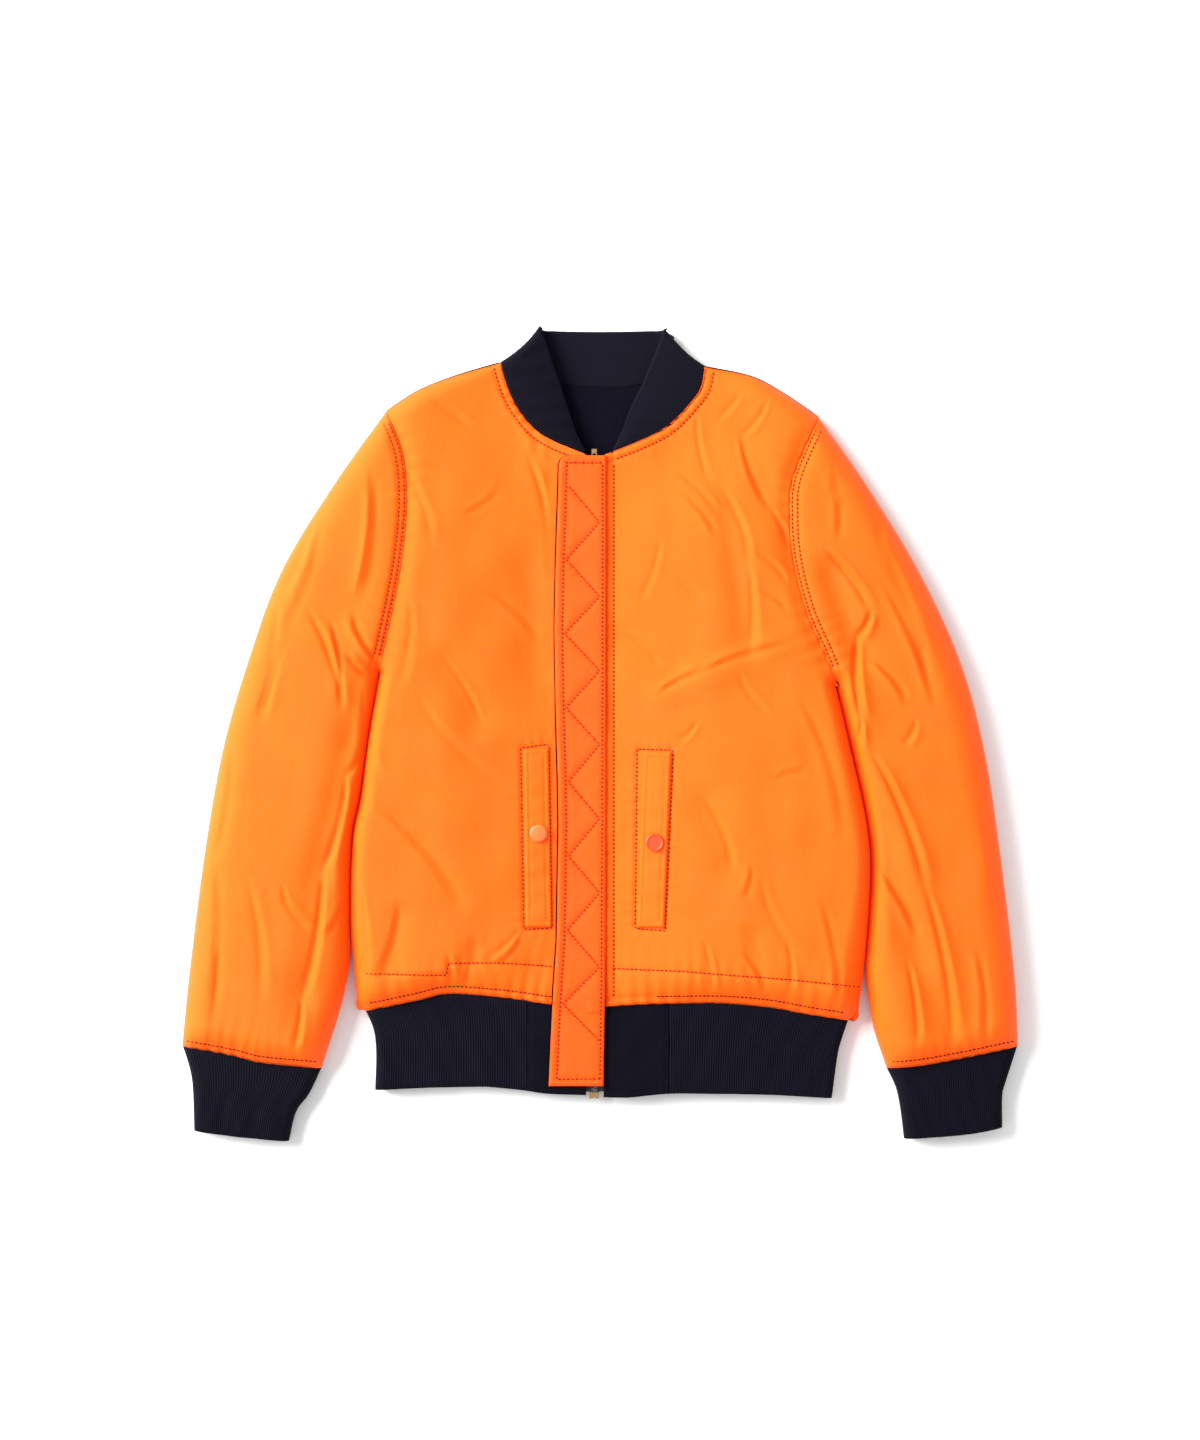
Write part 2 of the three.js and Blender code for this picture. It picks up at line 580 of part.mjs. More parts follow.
function waistFront(side, from, to) {
  const hem = faceted(edge.HEM[side], frontColumns);
  const hemShare = (x) => shareAt(hem, x);
  const endShare = (x) => shareAt(edge.RIB_END[side], x);
  const near = part(hem, hemShare(from), hemShare(to));
  const far = part(edge.RIB_END[side], endShare(from), endShare(to));
  const end = to === RIB_FAR[side] ? edge.RIB_SIDE[side] : line(near(1), far(1));
  return patch(near, far, line(near(0), far(0)), end);
}

// The share of a curve's length where it has this x.
function shareAt(along, x) {
  let [lo, hi] = [0, 1];
  const rising = along(1).x > along(0).x;
  for (let i = 0; i < 40; i++) {
    const middle = (lo + hi) / 2;
    if (along(middle).x < x === rising) lo = middle;
    else hi = middle;
  }
  return (lo + hi) / 2;
}

// The waist rib: from one end tab round the side, under the back and round to the other tab.
function waistRib() {
  const right = waistFront("right", TAB_END.right, RIB_FAR.right);
  const left = waistFront("left", TAB_END.left, RIB_FAR.left);
  const under = patch(curve(BACK_HEM), curve(BACK_RIB_END), edge.RIB_SIDE.right, edge.RIB_SIDE.left);
  const rightSteps = ribSteps(RIB_LENGTH.waistRight);
  const leftSteps = ribSteps(RIB_LENGTH.waistLeft).reverse();
  const underSteps = backColumns.slice(1, -1);
  const columns = [
    ...rightSteps.map((a) => ({ plan: right, sheet: "over", a })),
    ...underSteps.map((a) => ({ plan: under, sheet: "under", a })),
    ...leftSteps.map((a) => ({ plan: left, sheet: "over", a })),
  ];
  const seamAt = (a, b, sheet) => {
    if (b === 0 || b === 1) return { along: "a" };
    return sheet === "over" && a === 0 ? { along: "b" } : null;
  };
  const grid = clothGrid(columns, RIB_ROWS, bodyFolds, () => WAIST_TOP, seamAt);
  const relief = bandRelief(columns.length, rightSteps.length, rightSteps.length + underSteps.length);
  return wallMesh("waist_rib", grid, KNIT, NAVY, { relief });
}

// Ribs on both front ends of a band, up to the column where it turns under and from where it comes back.
function bandRelief(count, turned, returned) {
  return (i) => (i > 0 && i < count - 1 && (i < turned || i >= returned) && i % 2 ? -RIB_DEPTH : 0);
}

// The woven tab between the rib and the zip.
function waistTab(side) {
  const plan = waistFront(side, TAB_START[side], TAB_END[side]);
  const seamAt = (a, b) => {
    if (b === 0 || b === 1) return { along: "a" };
    return a === 0 || a === 1 ? { along: "b" } : null;
  };
  const columns = even(4).map((a) => ({ plan, sheet: "over", a }));
  const grid = clothGrid(columns, even(4), bodyFolds, () => WAIST_TOP, seamAt);
  return wallMesh(`waist_tab_${side}`, grid, TAB, NAVY);
}

// The collar: a ribbed band along each front neckline, turned over at the sides and run round the back.
function collar() {
  const fronts = {};
  for (const side of SIDES) {
    const steps = frontColumns.filter((a) => a <= NECK_SHARE + 1e-9).map((a) => a / NECK_SHARE);
    const seam = part(faceted(edge.NECKLINE[side], steps), COLLAR_START, 1);
    const free = edge.COLLAR_FREE[side];
    fronts[side] = patch(seam, free, line(seam(0), free(0)), edge.COLLAR_FOLD[side]);
  }
  const { from: neckFrom, to: neckTo } = BACK_NECK_SHARE;
  const neckColumns = backColumns.filter((a) => a >= neckFrom && a <= neckTo);
  const backSteps = neckColumns.map((a) => (a - neckFrom) / (neckTo - neckFrom));
  const backNeck = faceted(curve(BACK_NECK), backSteps);
  const under = patch(backNeck, curve(COLLAR_TOP), edge.COLLAR_FOLD.right, edge.COLLAR_FOLD.left);
  const rightSteps = ribSteps(RIB_LENGTH.collar).slice(0, -1);
  const leftSteps = ribSteps(RIB_LENGTH.collar).slice(0, -1).reverse();
  const columns = [
    ...rightSteps.map((a) => ({ plan: fronts.right, sheet: "over", a })),
    ...COLLAR_UNDER_STEPS.map((a) => ({ plan: under, sheet: "under", a })),
    ...leftSteps.map((a) => ({ plan: fronts.left, sheet: "over", a })),
  ];
  const seamAt = (a, b, sheet) => {
    if (b === 0 || b === 1) return { along: "a", gap: b === 0 ? 2 * GAP : 0 };
    return sheet === "over" && a === 0 ? { along: "b" } : null;
  };
  const folds = [collarFold.right, collarFold.left];
  const height = (p, a, b) => mix(NECK_TOP, COLLAR_EDGE_TOP, b);
  const grid = clothGrid(columns, RIB_ROWS, folds, height, seamAt);
  const returned = rightSteps.length + COLLAR_UNDER_STEPS.length;
  const relief = bandRelief(columns.length, rightSteps.length, returned);
  return wallMesh("collar", grid, KNIT, NAVY, { relief });
}

// The highest or lowest top within a small reach of a point, for cloth that bridges the hollows.
function bridged(pick, [reachX, reachY]) {
  return (p) => pick(...[-1, 0, 1].flatMap((i) => [-1, -0.5, 0, 0.5, 1].map((j) => (
    middleTop(new THREE.Vector2(p.x + i * reachX, p.y + j * reachY))
  ))));
}

// A grid that lies on the front, lifted off it.
function laidGrid(plan, columns, rows, lift, top = middleTop) {
  return columns.map((a) => rows.map((b) => {
    const { point, normal } = drape("over", plan(a, b), bodyFolds, top);
    return { point: point.addScaledVector(normal, lift), normal };
  }));
}

// How far a flap point is from the nearest line of stitching, as the share of a pillow's half width.
function pillow(p) {
  const turns = (ZIGZAG.first - p.y) / (ZIGZAG.period / 2);
  const swing = Math.abs((((turns % 2) + 2) % 2) - 1);
  const stitchX = mix(ZIGZAG.outer, ZIGZAG.inner, swing);
  const sewn = p.y < ZIGZAG.first + ZIGZAG.period / 2 && turns < 2 * ZIGZAG.turns;
  const zigzag = sewn ? Math.abs(p.x - stitchX) * ZIGZAG.lean : Infinity;
  const edges = Math.min(Math.abs(p.x - ZIGZAG.outer), Math.abs(p.x - ZIGZAG.inner));
  return clamp01(Math.min(zigzag, edges) / ZIGZAG.half);
}

// The flap over the zip, quilted in a zigzag. Its rows meet the turns of the stitching.
function zipFlap() {
  const outer = new THREE.SplineCurve(FLAP_SECTIONS.map((s) => new THREE.Vector2(s.y, s.outer)));
  const inner = new THREE.SplineCurve(FLAP_SECTIONS.map((s) => new THREE.Vector2(s.y, s.inner)));
  const low = FLAP_SECTIONS[0].y;
  const high = FLAP_SECTIONS.at(-1).y;
  const spanAt = (spline, y) => spline.getPoint(shareAt((t) => spline.getPoint(t), y)).y;
  const plan = (a, b) => {
    const y = mix(low, high, b);
    return new THREE.Vector2(mix(spanAt(outer, y), spanAt(inner, y), a), y);
  };
  const quarter = ZIGZAG.period / 4;
  const stitched = Array.from({ length: 4 * ZIGZAG.turns + 1 }, (_, i) => ZIGZAG.first - i * quarter);
  const turnYs = stitched.filter((y) => y > low + FLAP_END_ROWS.lowClear).reverse();
  const ys = [low, FLAP_END_ROWS.low, ...turnYs, ...FLAP_END_ROWS.high, high];
  const rows = ys.map((y) => (y - low) / (high - low));
  const lift = 2 * GAP + FLAP - ZIGZAG.groove;
  const grid = laidGrid(plan, FLAP_COLUMNS, rows, lift, bridged(Math.max, BRIDGE.flap));
  const relief = (i, j) => {
    const p = plan(FLAP_COLUMNS[i], rows[j]);
    return i === 0 || i === FLAP_COLUMNS.length - 1 ? 0 : ZIGZAG.groove * pillow(p);
  };
  return wallMesh("zip_flap", grid, FLAP - ZIGZAG.groove, ORANGE, { relief });
}

function weltPlan(w) {
  const corner = (x, y) => new THREE.Vector2(x, y);
  const near = line(corner(w.endOuter, w.endY), corner(w.endInner, w.endY));
  const far = line(corner(w.topOuter, w.topY), corner(w.topInner, w.topY));
  return patch(near, far, line(near(0), far(0)), line(near(1), far(1)));
}

function pocketWelt(w) {
  const grid = laidGrid(weltPlan(w), even(3), even(8), GAP + WELT, bridged(Math.max, BRIDGE.flap));
  return wallMesh(`pocket_welt_${w.name}`, grid, WELT, ORANGE);
}

// A snap's cap, which stands on its welt.
function pocketSnap(w) {
  const profile = SNAP_PROFILE.map(([radius, height]) => new THREE.Vector2(radius, height));
  const lathe = new THREE.LatheGeometry(profile, SNAP_SIDES);
  const place = new THREE.Vector2(w.snapX, w.snapY);
  const { point, normal } = drape("over", place, bodyFolds, bridged(Math.max, BRIDGE.snap));
  const paint = new THREE.MeshStandardMaterial({ color: SNAP_ORANGE, roughness: 0.35, metalness: 0.1 });
  const mesh = new THREE.Mesh(closed(lathe), paint);
  mesh.name = `pocket_snap_${w.name}`;
  mesh.position.copy(point).addScaledVector(normal, 2 * GAP + WELT + SNAP_CLEAR);
  mesh.quaternion.setFromUnitVectors(new THREE.Vector3(0, 1, 0), normal);
  return mesh;
}

// A geometry with only positions, its shared points merged.
function closed(geometry) {
  const bare = geometry.clone();
  bare.deleteAttribute("normal");
  bare.deleteAttribute("uv");
  const merged = mergeVertices(bare, 1e-4);
  merged.computeVertexNormals();
  return merged;
}

// The zip: where its slider starts and ends, the tapes' lower end, and the teeth along their edges.
const ZIP = {
  slideY: 226, topY: 238, endY: -308.5, toothWidth: 2.8, toothRise: 2.2, tapeEdge: 20, sliderHalf: 4.5,
  sliderClear: 0.5, stepWidth: 0.02,
};
const TAPE_ROWS = { low: [-280, -255], from: -234, to: 200, steps: 14 };

// The height of the zip tape's upper face, clear of the padded fronts over it.
function zipLevel(p) {
  return bridged(Math.min, BRIDGE.zip)(p) - PADDED - 2 * GAP;
}

// One half of the zip: the tape under the front's edge with its thick edge of teeth.
function zipHalf(side) {
  const way = turn[side];
  const slid = (y) => y > ZIP.slideY - ZIP.sliderClear / 2;
  const innerX = (y) => ZIP_X + way * (slid(y) ? ZIP.sliderHalf + ZIP.sliderClear : GAP / 2);
  const outerX = ZIP_X + way * ZIP.tapeEdge;
  const middle = even(TAPE_ROWS.steps).map((t) => mix(TAPE_ROWS.from, TAPE_ROWS.to, t));
  const ys = [ZIP.endY, ...TAPE_ROWS.low, ...middle, ZIP.slideY - ZIP.sliderClear, ZIP.slideY, ZIP.topY];
  const rows = ys.map((y) => (y - ZIP.endY) / (ZIP.topY - ZIP.endY));
  const share = ZIP.toothWidth / ZIP.tapeEdge;
  const columns = [0, 1 - share - ZIP.stepWidth, 1 - share, 1];
  const plan = (a, b) => {
    const y = mix(ZIP.endY, ZIP.topY, b);
    return new THREE.Vector2(mix(outerX, innerX(y), a), y);
  };
  const grid = columns.map((a) => rows.map((b) => {
    const p = plan(a, b);
    return { point: new THREE.Vector3(p.x, p.y, zipLevel(p)), normal: new THREE.Vector3(0, 0, 1) };
  }));
  const relief = (i, j) => (i > 1 && !slid(ys[j]) ? ZIP.toothRise : 0);
  return wallMesh(`zip_tape_${side}`, grid, TAPE, NAVY, { relief });
}

const wasm = await Module();
wasm.setup();

function solid(geometry) {
  const bare = closed(geometry.index ? geometry.toNonIndexed() : geometry);
  return new wasm.Manifold(new wasm.Mesh({
    numProp: 3,
    vertProperties: bare.attributes.position.array,
    triVerts: new Uint32Array(bare.index.array),
  }));
}

// A block about the zip's line: half its width, and its ends along y and z.
function block(half, y0, y1, z0, z1) {
  const made = new THREE.BoxGeometry(2 * half, y1 - y0, z1 - z0);
  return solid(made.translate(ZIP_X, (y0 + y1) / 2, (z0 + z1) / 2));
}

function solidMesh(name, made, color, roughness, metalness) {
  const mesh = made.getMesh();
  const [positions, faces] = [mesh.vertProperties, mesh.triVerts].map((list) => Array.from(list));
  return meshOf(name, positions, faces, color, roughness, metalness);
}

// A flat outline in y and z, given a width along x about the zip's line.
function sideways(rows, halfWidth) {
  const shape = new THREE.Shape(rows.map(([y, z]) => new THREE.Vector2(y, z)));
  const geometry = new THREE.ExtrudeGeometry(shape, { depth: 2 * halfWidth, bevelEnabled: false });
  const axes = [[0, 1, 0], [0, 0, 1], [1, 0, 0]].map((axis) => new THREE.Vector3(...axis));
  const turned = new THREE.Matrix4().makeBasis(...axes);
  return solid(geometry.applyMatrix4(turned).translate(ZIP_X - halfWidth, 0, 0));
}

const sliderFloor = zipLevel(new THREE.Vector2(ZIP_X, ZIP.topY));
// The slider's plates and nose, as heights over the tape, and the crown's arch and window about the pin.
const SLIDER = {
  upper: [0.8, 1.9], lower: [-2.4, -1.4], nose: [-1.6, 1], noseHalf: 1.6, noseLength: 6,
  crownHalf: 1, crownTop: 1.7, crownBack: 4.2, crownFront: 1.9, round: 0.6, roof: 0.95,
  windowBack: 2.6, windowFront: 1.05, sunk: 0.2,
};
const PULL = {
  y: 236, z: sliderFloor + 2.9, pin: 0.6, arm: 0.6, half: 2.25, slot: 1.35, slotEnd: 5, tip: 245, clear: 3,
};
const RETAINER = { half: 4, end: -314.2, below: 2.4, above: 2.6, notchHalf: 0.6, notch: 1.2, clear: 3 };

// The slider: two plates joined by a nose, with a crown over the upper plate for the pull's pin.
function zipSlider() {
  const level = ([low, high]) => [sliderFloor + low, sliderFloor + high];
  const upper = block(ZIP.sliderHalf, ZIP.slideY, ZIP.topY, ...level(SLIDER.upper));
  const lower = block(ZIP.sliderHalf, ZIP.slideY, ZIP.topY, ...level(SLIDER.lower));
  const nose = block(SLIDER.noseHalf, ZIP.topY - SLIDER.noseLength, ZIP.topY, ...level(SLIDER.nose));
  const top = PULL.z + SLIDER.crownTop;
  const foot = sliderFloor + SLIDER.upper[1] - SLIDER.sunk;
  const [rear, front] = [PULL.y - SLIDER.crownBack, PULL.y + SLIDER.crownFront];
  const arch = [
    [rear, foot], [front, foot], [front, top - SLIDER.round], [front - SLIDER.round, top],
    [rear + 2 * SLIDER.round, top], [rear, top - SLIDER.round],
  ];
  const roof = [PULL.z - SLIDER.roof, PULL.z + SLIDER.roof];
  const [windowRear, windowFront] = [PULL.y - SLIDER.windowBack, PULL.y + SLIDER.windowFront];
  const window = block(3 * SLIDER.crownHalf, windowRear, windowFront, ...roof);
  const crown = sideways(arch, SLIDER.crownHalf).subtract(window);
  return solidMesh("zip_slider", upper.add(lower).add(nose).add(crown), BRASS, 0.4, 0.9);
}

// The pull tab: a short bar with a slot, whose end pin lies in the slider's crown.
function zipPull() {
  const r = PULL.arm;
  const round = (y, from, to) => even(4).map((t) => {
    const angle = mix(from, to, t);
    return [y + r * Math.cos(angle), PULL.z + r * Math.sin(angle)];
  });
  const pinEnd = round(PULL.y, Math.PI / 2, (3 * Math.PI) / 2);
  const tip = round(PULL.tip - r, -Math.PI / 2, Math.PI / 2);
  const through = [PULL.z - PULL.clear, PULL.z + PULL.clear];
  const slot = block(PULL.slot, PULL.y + PULL.pin, PULL.y + PULL.slotEnd, ...through);
  const bar = sideways([...pinEnd, ...tip], PULL.half);
  return solidMesh("zip_pull", bar.subtract(slot), BRASS, 0.4, 0.9);
}

// The retainer box that holds the zip's two ends at the hem, with a notch in its end.
function zipBox() {
  const z = zipLevel(new THREE.Vector2(ZIP_X, ZIP.endY));
  const body = block(RETAINER.half, RETAINER.end, ZIP.endY - GAP, z - RETAINER.below, z + RETAINER.above);
  const through = [z - RETAINER.clear, z + RETAINER.clear];
  const notch = block(RETAINER.notchHalf, RETAINER.end - 1, RETAINER.end + RETAINER.notch, ...through);
  return solidMesh("zip_box", body.subtract(notch), BRASS, 0.45, 0.9);
}

const jacket = new THREE.Group();
jacket.add(back(), waistRib(), collar(), zipFlap(), zipSlider(), zipPull(), zipBox());
for (const side of SIDES) jacket.add(front(side), sleeve(side), cuff(side), waistTab(side), zipHalf(side));
for (const welt of WELTS) jacket.add(pocketWelt(welt), pocketSnap(welt));

export default jacket;
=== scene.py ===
"""The looks of a padded bomber jacket that lies flat on its back with its front up and its zip closed.

Outlines and heights are in millimetres, as in the part, and a finished piece is in metres. Right and left are
the wearer's, so right lies at -X. Each cloth piece is a grid in shares a and b of its patch, draped over or
under the jacket, with its creases, puckers and stitched grooves raised in the grid, and a wall added to it.
"""
import math

import bmesh
import bpy
import numpy as np
from mathutils import Matrix, Vector


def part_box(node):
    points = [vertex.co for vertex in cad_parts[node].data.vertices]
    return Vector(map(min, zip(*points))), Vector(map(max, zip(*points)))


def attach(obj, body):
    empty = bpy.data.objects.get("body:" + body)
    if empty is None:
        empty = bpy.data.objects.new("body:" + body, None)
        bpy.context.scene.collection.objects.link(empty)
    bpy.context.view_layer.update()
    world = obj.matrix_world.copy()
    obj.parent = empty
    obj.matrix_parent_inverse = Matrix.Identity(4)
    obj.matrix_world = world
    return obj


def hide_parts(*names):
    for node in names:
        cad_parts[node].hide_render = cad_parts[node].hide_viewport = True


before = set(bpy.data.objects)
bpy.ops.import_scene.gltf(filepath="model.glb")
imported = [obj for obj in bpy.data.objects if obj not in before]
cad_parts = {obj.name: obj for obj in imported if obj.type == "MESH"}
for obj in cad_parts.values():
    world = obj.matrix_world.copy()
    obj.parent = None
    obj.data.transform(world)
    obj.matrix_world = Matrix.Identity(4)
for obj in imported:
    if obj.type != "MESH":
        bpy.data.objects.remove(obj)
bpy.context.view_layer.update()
MM = 0.001

# The photo's scale, and the pixel that lies at the middle of the jacket.
PHOTO_SCALE = 0.86
PHOTO_MIDDLE = (600, 733.5)
PHOTO_SIZE = (1200, 1440)

# Walls, and heights over the surface.
PADDED = 4
KNIT = 3
TAB = 2.5
FLAP = 3
WELT = 2
FOLD_Z = 8.5
BODY_TOP = 33
ZIP_VALLEY = {"drop": 16, "x": -20, "width": 90}
YOKE_DROP = {"amount": 0.2, "start": 140, "over": 140}
NECK_TOP = 15
NECK_REACH = 85
WAIST_TOP = 15
WAIST_REACH = 26
CUFF_TOP = 17
CUFF_REACH = 24
COLLAR_EDGE_TOP = 13
OVER_REACH = 1.15
UNDER_REACH = 12
# A point nearer to a fold line than this lies on it.
ON_FOLD = 0.12
# Where sleeve and body press on each other, the folds are tighter by this factor.
PRESS = 2
SEAM_DIP = {"depth": 3.4, "width": 8}
UNDERARM_CROWD = 1.9
SIDE_SHARE = 0.5
NECK_SHARE = 0.55

# The rib knit's ridges, and how much lower the rib lies than the padded edge over it.
RIB_PITCH = 2.1
RIB_DEPTH = 0.8
RIB_SINK = 1.4

SIDES = ("right", "left")
TURN = {"right": -1, "left": 1}
FRONT_EDGE = {"right": -12, "left": 4.2}
# The upper and lower end of the left front's edge, and of the stitches along it.
EDGE_ENDS = (238, -234)
EDGE_STITCH_ENDS = (232, -226)
TAB_END = {"right": -63, "left": 60}
ZIP_X = -5

# Outlines in plan, each row an x and a y.
SHOULDER = {
    "right": [(-86, 320), (-126, 308), (-158, 295), (-184, 278)],
    "left": [(92, 316), (130, 308), (157, 294), (188, 273)],
}
ARMHOLE = {
    "right": [(-190, 52), (-182, 83), (-170, 143), (-165, 198), (-169, 242), (-184, 278)],
    "left": [(203, 42), (192, 68), (176, 105), (165, 148), (162, 185), (165, 220), (188, 273)],
}
SIDE = {
    "right": [(-202, -239), (-209, -225), (-215, -160), (-213, -90), (-206, -53), (-199, -1), (-190, 52)],
    "left": [(214, -247), (222, -236), (229, -187), (233, -118), (229, -72), (215, -9), (203, 42)],
}
NECKLINE = {
    "right": [(-12, 240), (-27, 246), (-41, 252), (-56, 262), (-70, 279), (-79, 297), (-86, 320)],
    "left": [(6, 240), (19, 245), (34, 251), (51, 259), (65, 269), (79, 284), (88, 297), (92, 316)],
}
HEM = {
    "right": [(-12, -234), (-42, -233), (-85, -227), (-129, -224), (-154, -229), (-182, -235), (-202, -239)],
    "left": [(6, -235), (39, -233), (94, -232), (121, -233), (149, -236), (176, -241), (214, -247)],
}
SLEEVE_OUTER = {
    "right": [(-184, 278), (-227, 218), (-274, 141), (-303, 63), (-325, -14), (-341, -105), (-354, -208),
              (-360, -269)],
    "left": [(188, 273), (227, 218), (274, 141), (310, 63), (331, -14), (345, -105), (357, -208),
             (360, -269)],
}
SLEEVE_INNER = {
    "right": [(-190, 52), (-199.4, -1), (-206.5, -53), (-213.5, -90), (-215.6, -160), (-215.5, -195),
              (-223, -234), (-240, -288)],
    "left": [(203, 42), (215.4, -9), (229.5, -72), (233.5, -118), (229.6, -187), (228.6, -206),
             (235, -250), (247, -288)],
}
CUFF_SEAM = {
    "right": [(-360, -269), (-316, -277), (-291, -283), (-240, -288)],
    "left": [(360, -269), (308, -280), (272, -286), (247, -288)],
}
CUFF_OUTER = {
    "right": [(-360, -269), (-352, -298), (-350, -342)],
    "left": [(360, -269), (350, -300), (347, -312), (347, -339)],
}
CUFF_INNER = {
    "right": [(-240, -288), (-251, -311), (-262, -326), (-268, -351)],
    "left": [(247, -288), (255, -305), (259, -324), (262, -349)],
}
CUFF_END = {
    "right": [(-350, -342), (-310, -347), (-268, -351)],
    "left": [(347, -339), (314, -345), (262, -349)],
}
RIB_SIDE = {
    "right": [(-202, -239), (-195, -256), (-193, -277), (-194, -307)],
    "left": [(214, -247), (209, -262), (205, -277), (200, -314)],
}
RIB_END = {
    "right": [(-12, -311), (-44, -310), (-66, -307), (-113, -303), (-154, -305), (-194, -307)],
    "left": [(3, -313), (26, -313), (58, -310), (94, -310), (149, -311), (200, -314)],
}
BACK_HEM = [(-202, -239), (-182, -235), (-140, -234), (0, -238), (140, -237), (176, -241), (214, -247)]
BACK_RIB_END = [(-194, -307), (0, -305), (200, -314)]
BACK_NECK = [(-86, 320), (-60, 307), (-33, 301), (12, 298), (36, 301), (65, 306), (92, 316)]
COLLAR_FOLD = {
    "right": [(-86, 320), (-73, 329), (-61, 340), (-52, 351.5)],
    "left": [(92, 316), (80, 324), (70, 333), (55.5, 349)],
}
COLLAR_FREE = {
    "right": [(-12.5, 243.5), (-20, 258), (-27, 278), (-34, 300), (-41, 320), (-52, 351.5)],
    "left": [(11, 244), (19, 261), (27, 282), (36, 300), (45, 322), (55.5, 349)],
}
COLLAR_TOP = [(-52, 351.5), (-45, 348), (3, 347), (51, 348), (55.5, 349)]


def table(names, rows):
    """A table's rows as dictionaries, by the names of its columns."""
    return [dict(zip(names.split(), row)) for row in rows]


# The zip flap's two long edges at each height, and the zigzag of its quilting.
FLAP_SECTIONS = table("y outer inner", [
    (-303, -44, 3), (-259, -42, 3.6), (-221, -40, 4.2), (-178, -37, 4.5), (-79, -35.5, 4.8), (-40, -36, 4.9),
    (29, -38, 5), (89, -39, 5), (140, -38, 5.1), (200, -36, 5.2), (231, -35.3, 5.3), (236, -33.5, 5.4),
    (239, -28, 5.4),
])
ZIGZAG = {"first": 213, "period": 63.6, "turns": 8, "outer": -29.5, "inner": -0.5}
FLAP_PUFF = 0.55
FLAP_PUFF_WIDTH = 5
FLAP_GROOVE = 0.54
FLAP_GROOVE_WIDTH = 1.3

# Pocket welts by their corners at the top and the bottom.
WELTS = table("name top_outer top_inner top_y end_outer end_inner end_y", [
    ("right", -65.4, -43.9, -13, -63.6, -41.3, -166.5), ("left", 37, 61.1, -16, 31.8, 55, -166.5),
])

# The jacket's largest folds, as in the part: troughs, or ridges where the depth is negative.
FOLDS = table("x0 y0 x1 y1 width depth", [
    (-196, 62, -212, -10, 13, 4.5), (-212, -10, -240, -120, 14, 4), (-240, -120, -258, -250, 13, 3),
    (-262, 150, -300, -10, 16, 2.2), (-330, -110, -333, -230, 12, 2),
    (-135, 66, -100, 5, 14, 2.4), (-157, -90, -118, -146, 12, 2), (-60, 150, -52, 20, 16, 2.4),
    (119, 258, 164, 160, 13, 3), (106, 209, 128, 66, 12, 3), (50, 31, 154, 75, 14, -2.6),
    (17, 86, 67, 50, 12, 2), (88, -53, 113, -118, 13, 2.4), (196, 143, 224, 60, 12, 4.5),
    (226, -44, 272, -187, 14, 4), (272, -187, 303, -264, 12, 3), (245, -44, 297, -228, 15, -2.5),
    (-170, -150, -182, -215, 10, 2.2), (130, -170, 139, -228, 9, 2.2), (-107, -180, -120, -222, 8, 2),
])

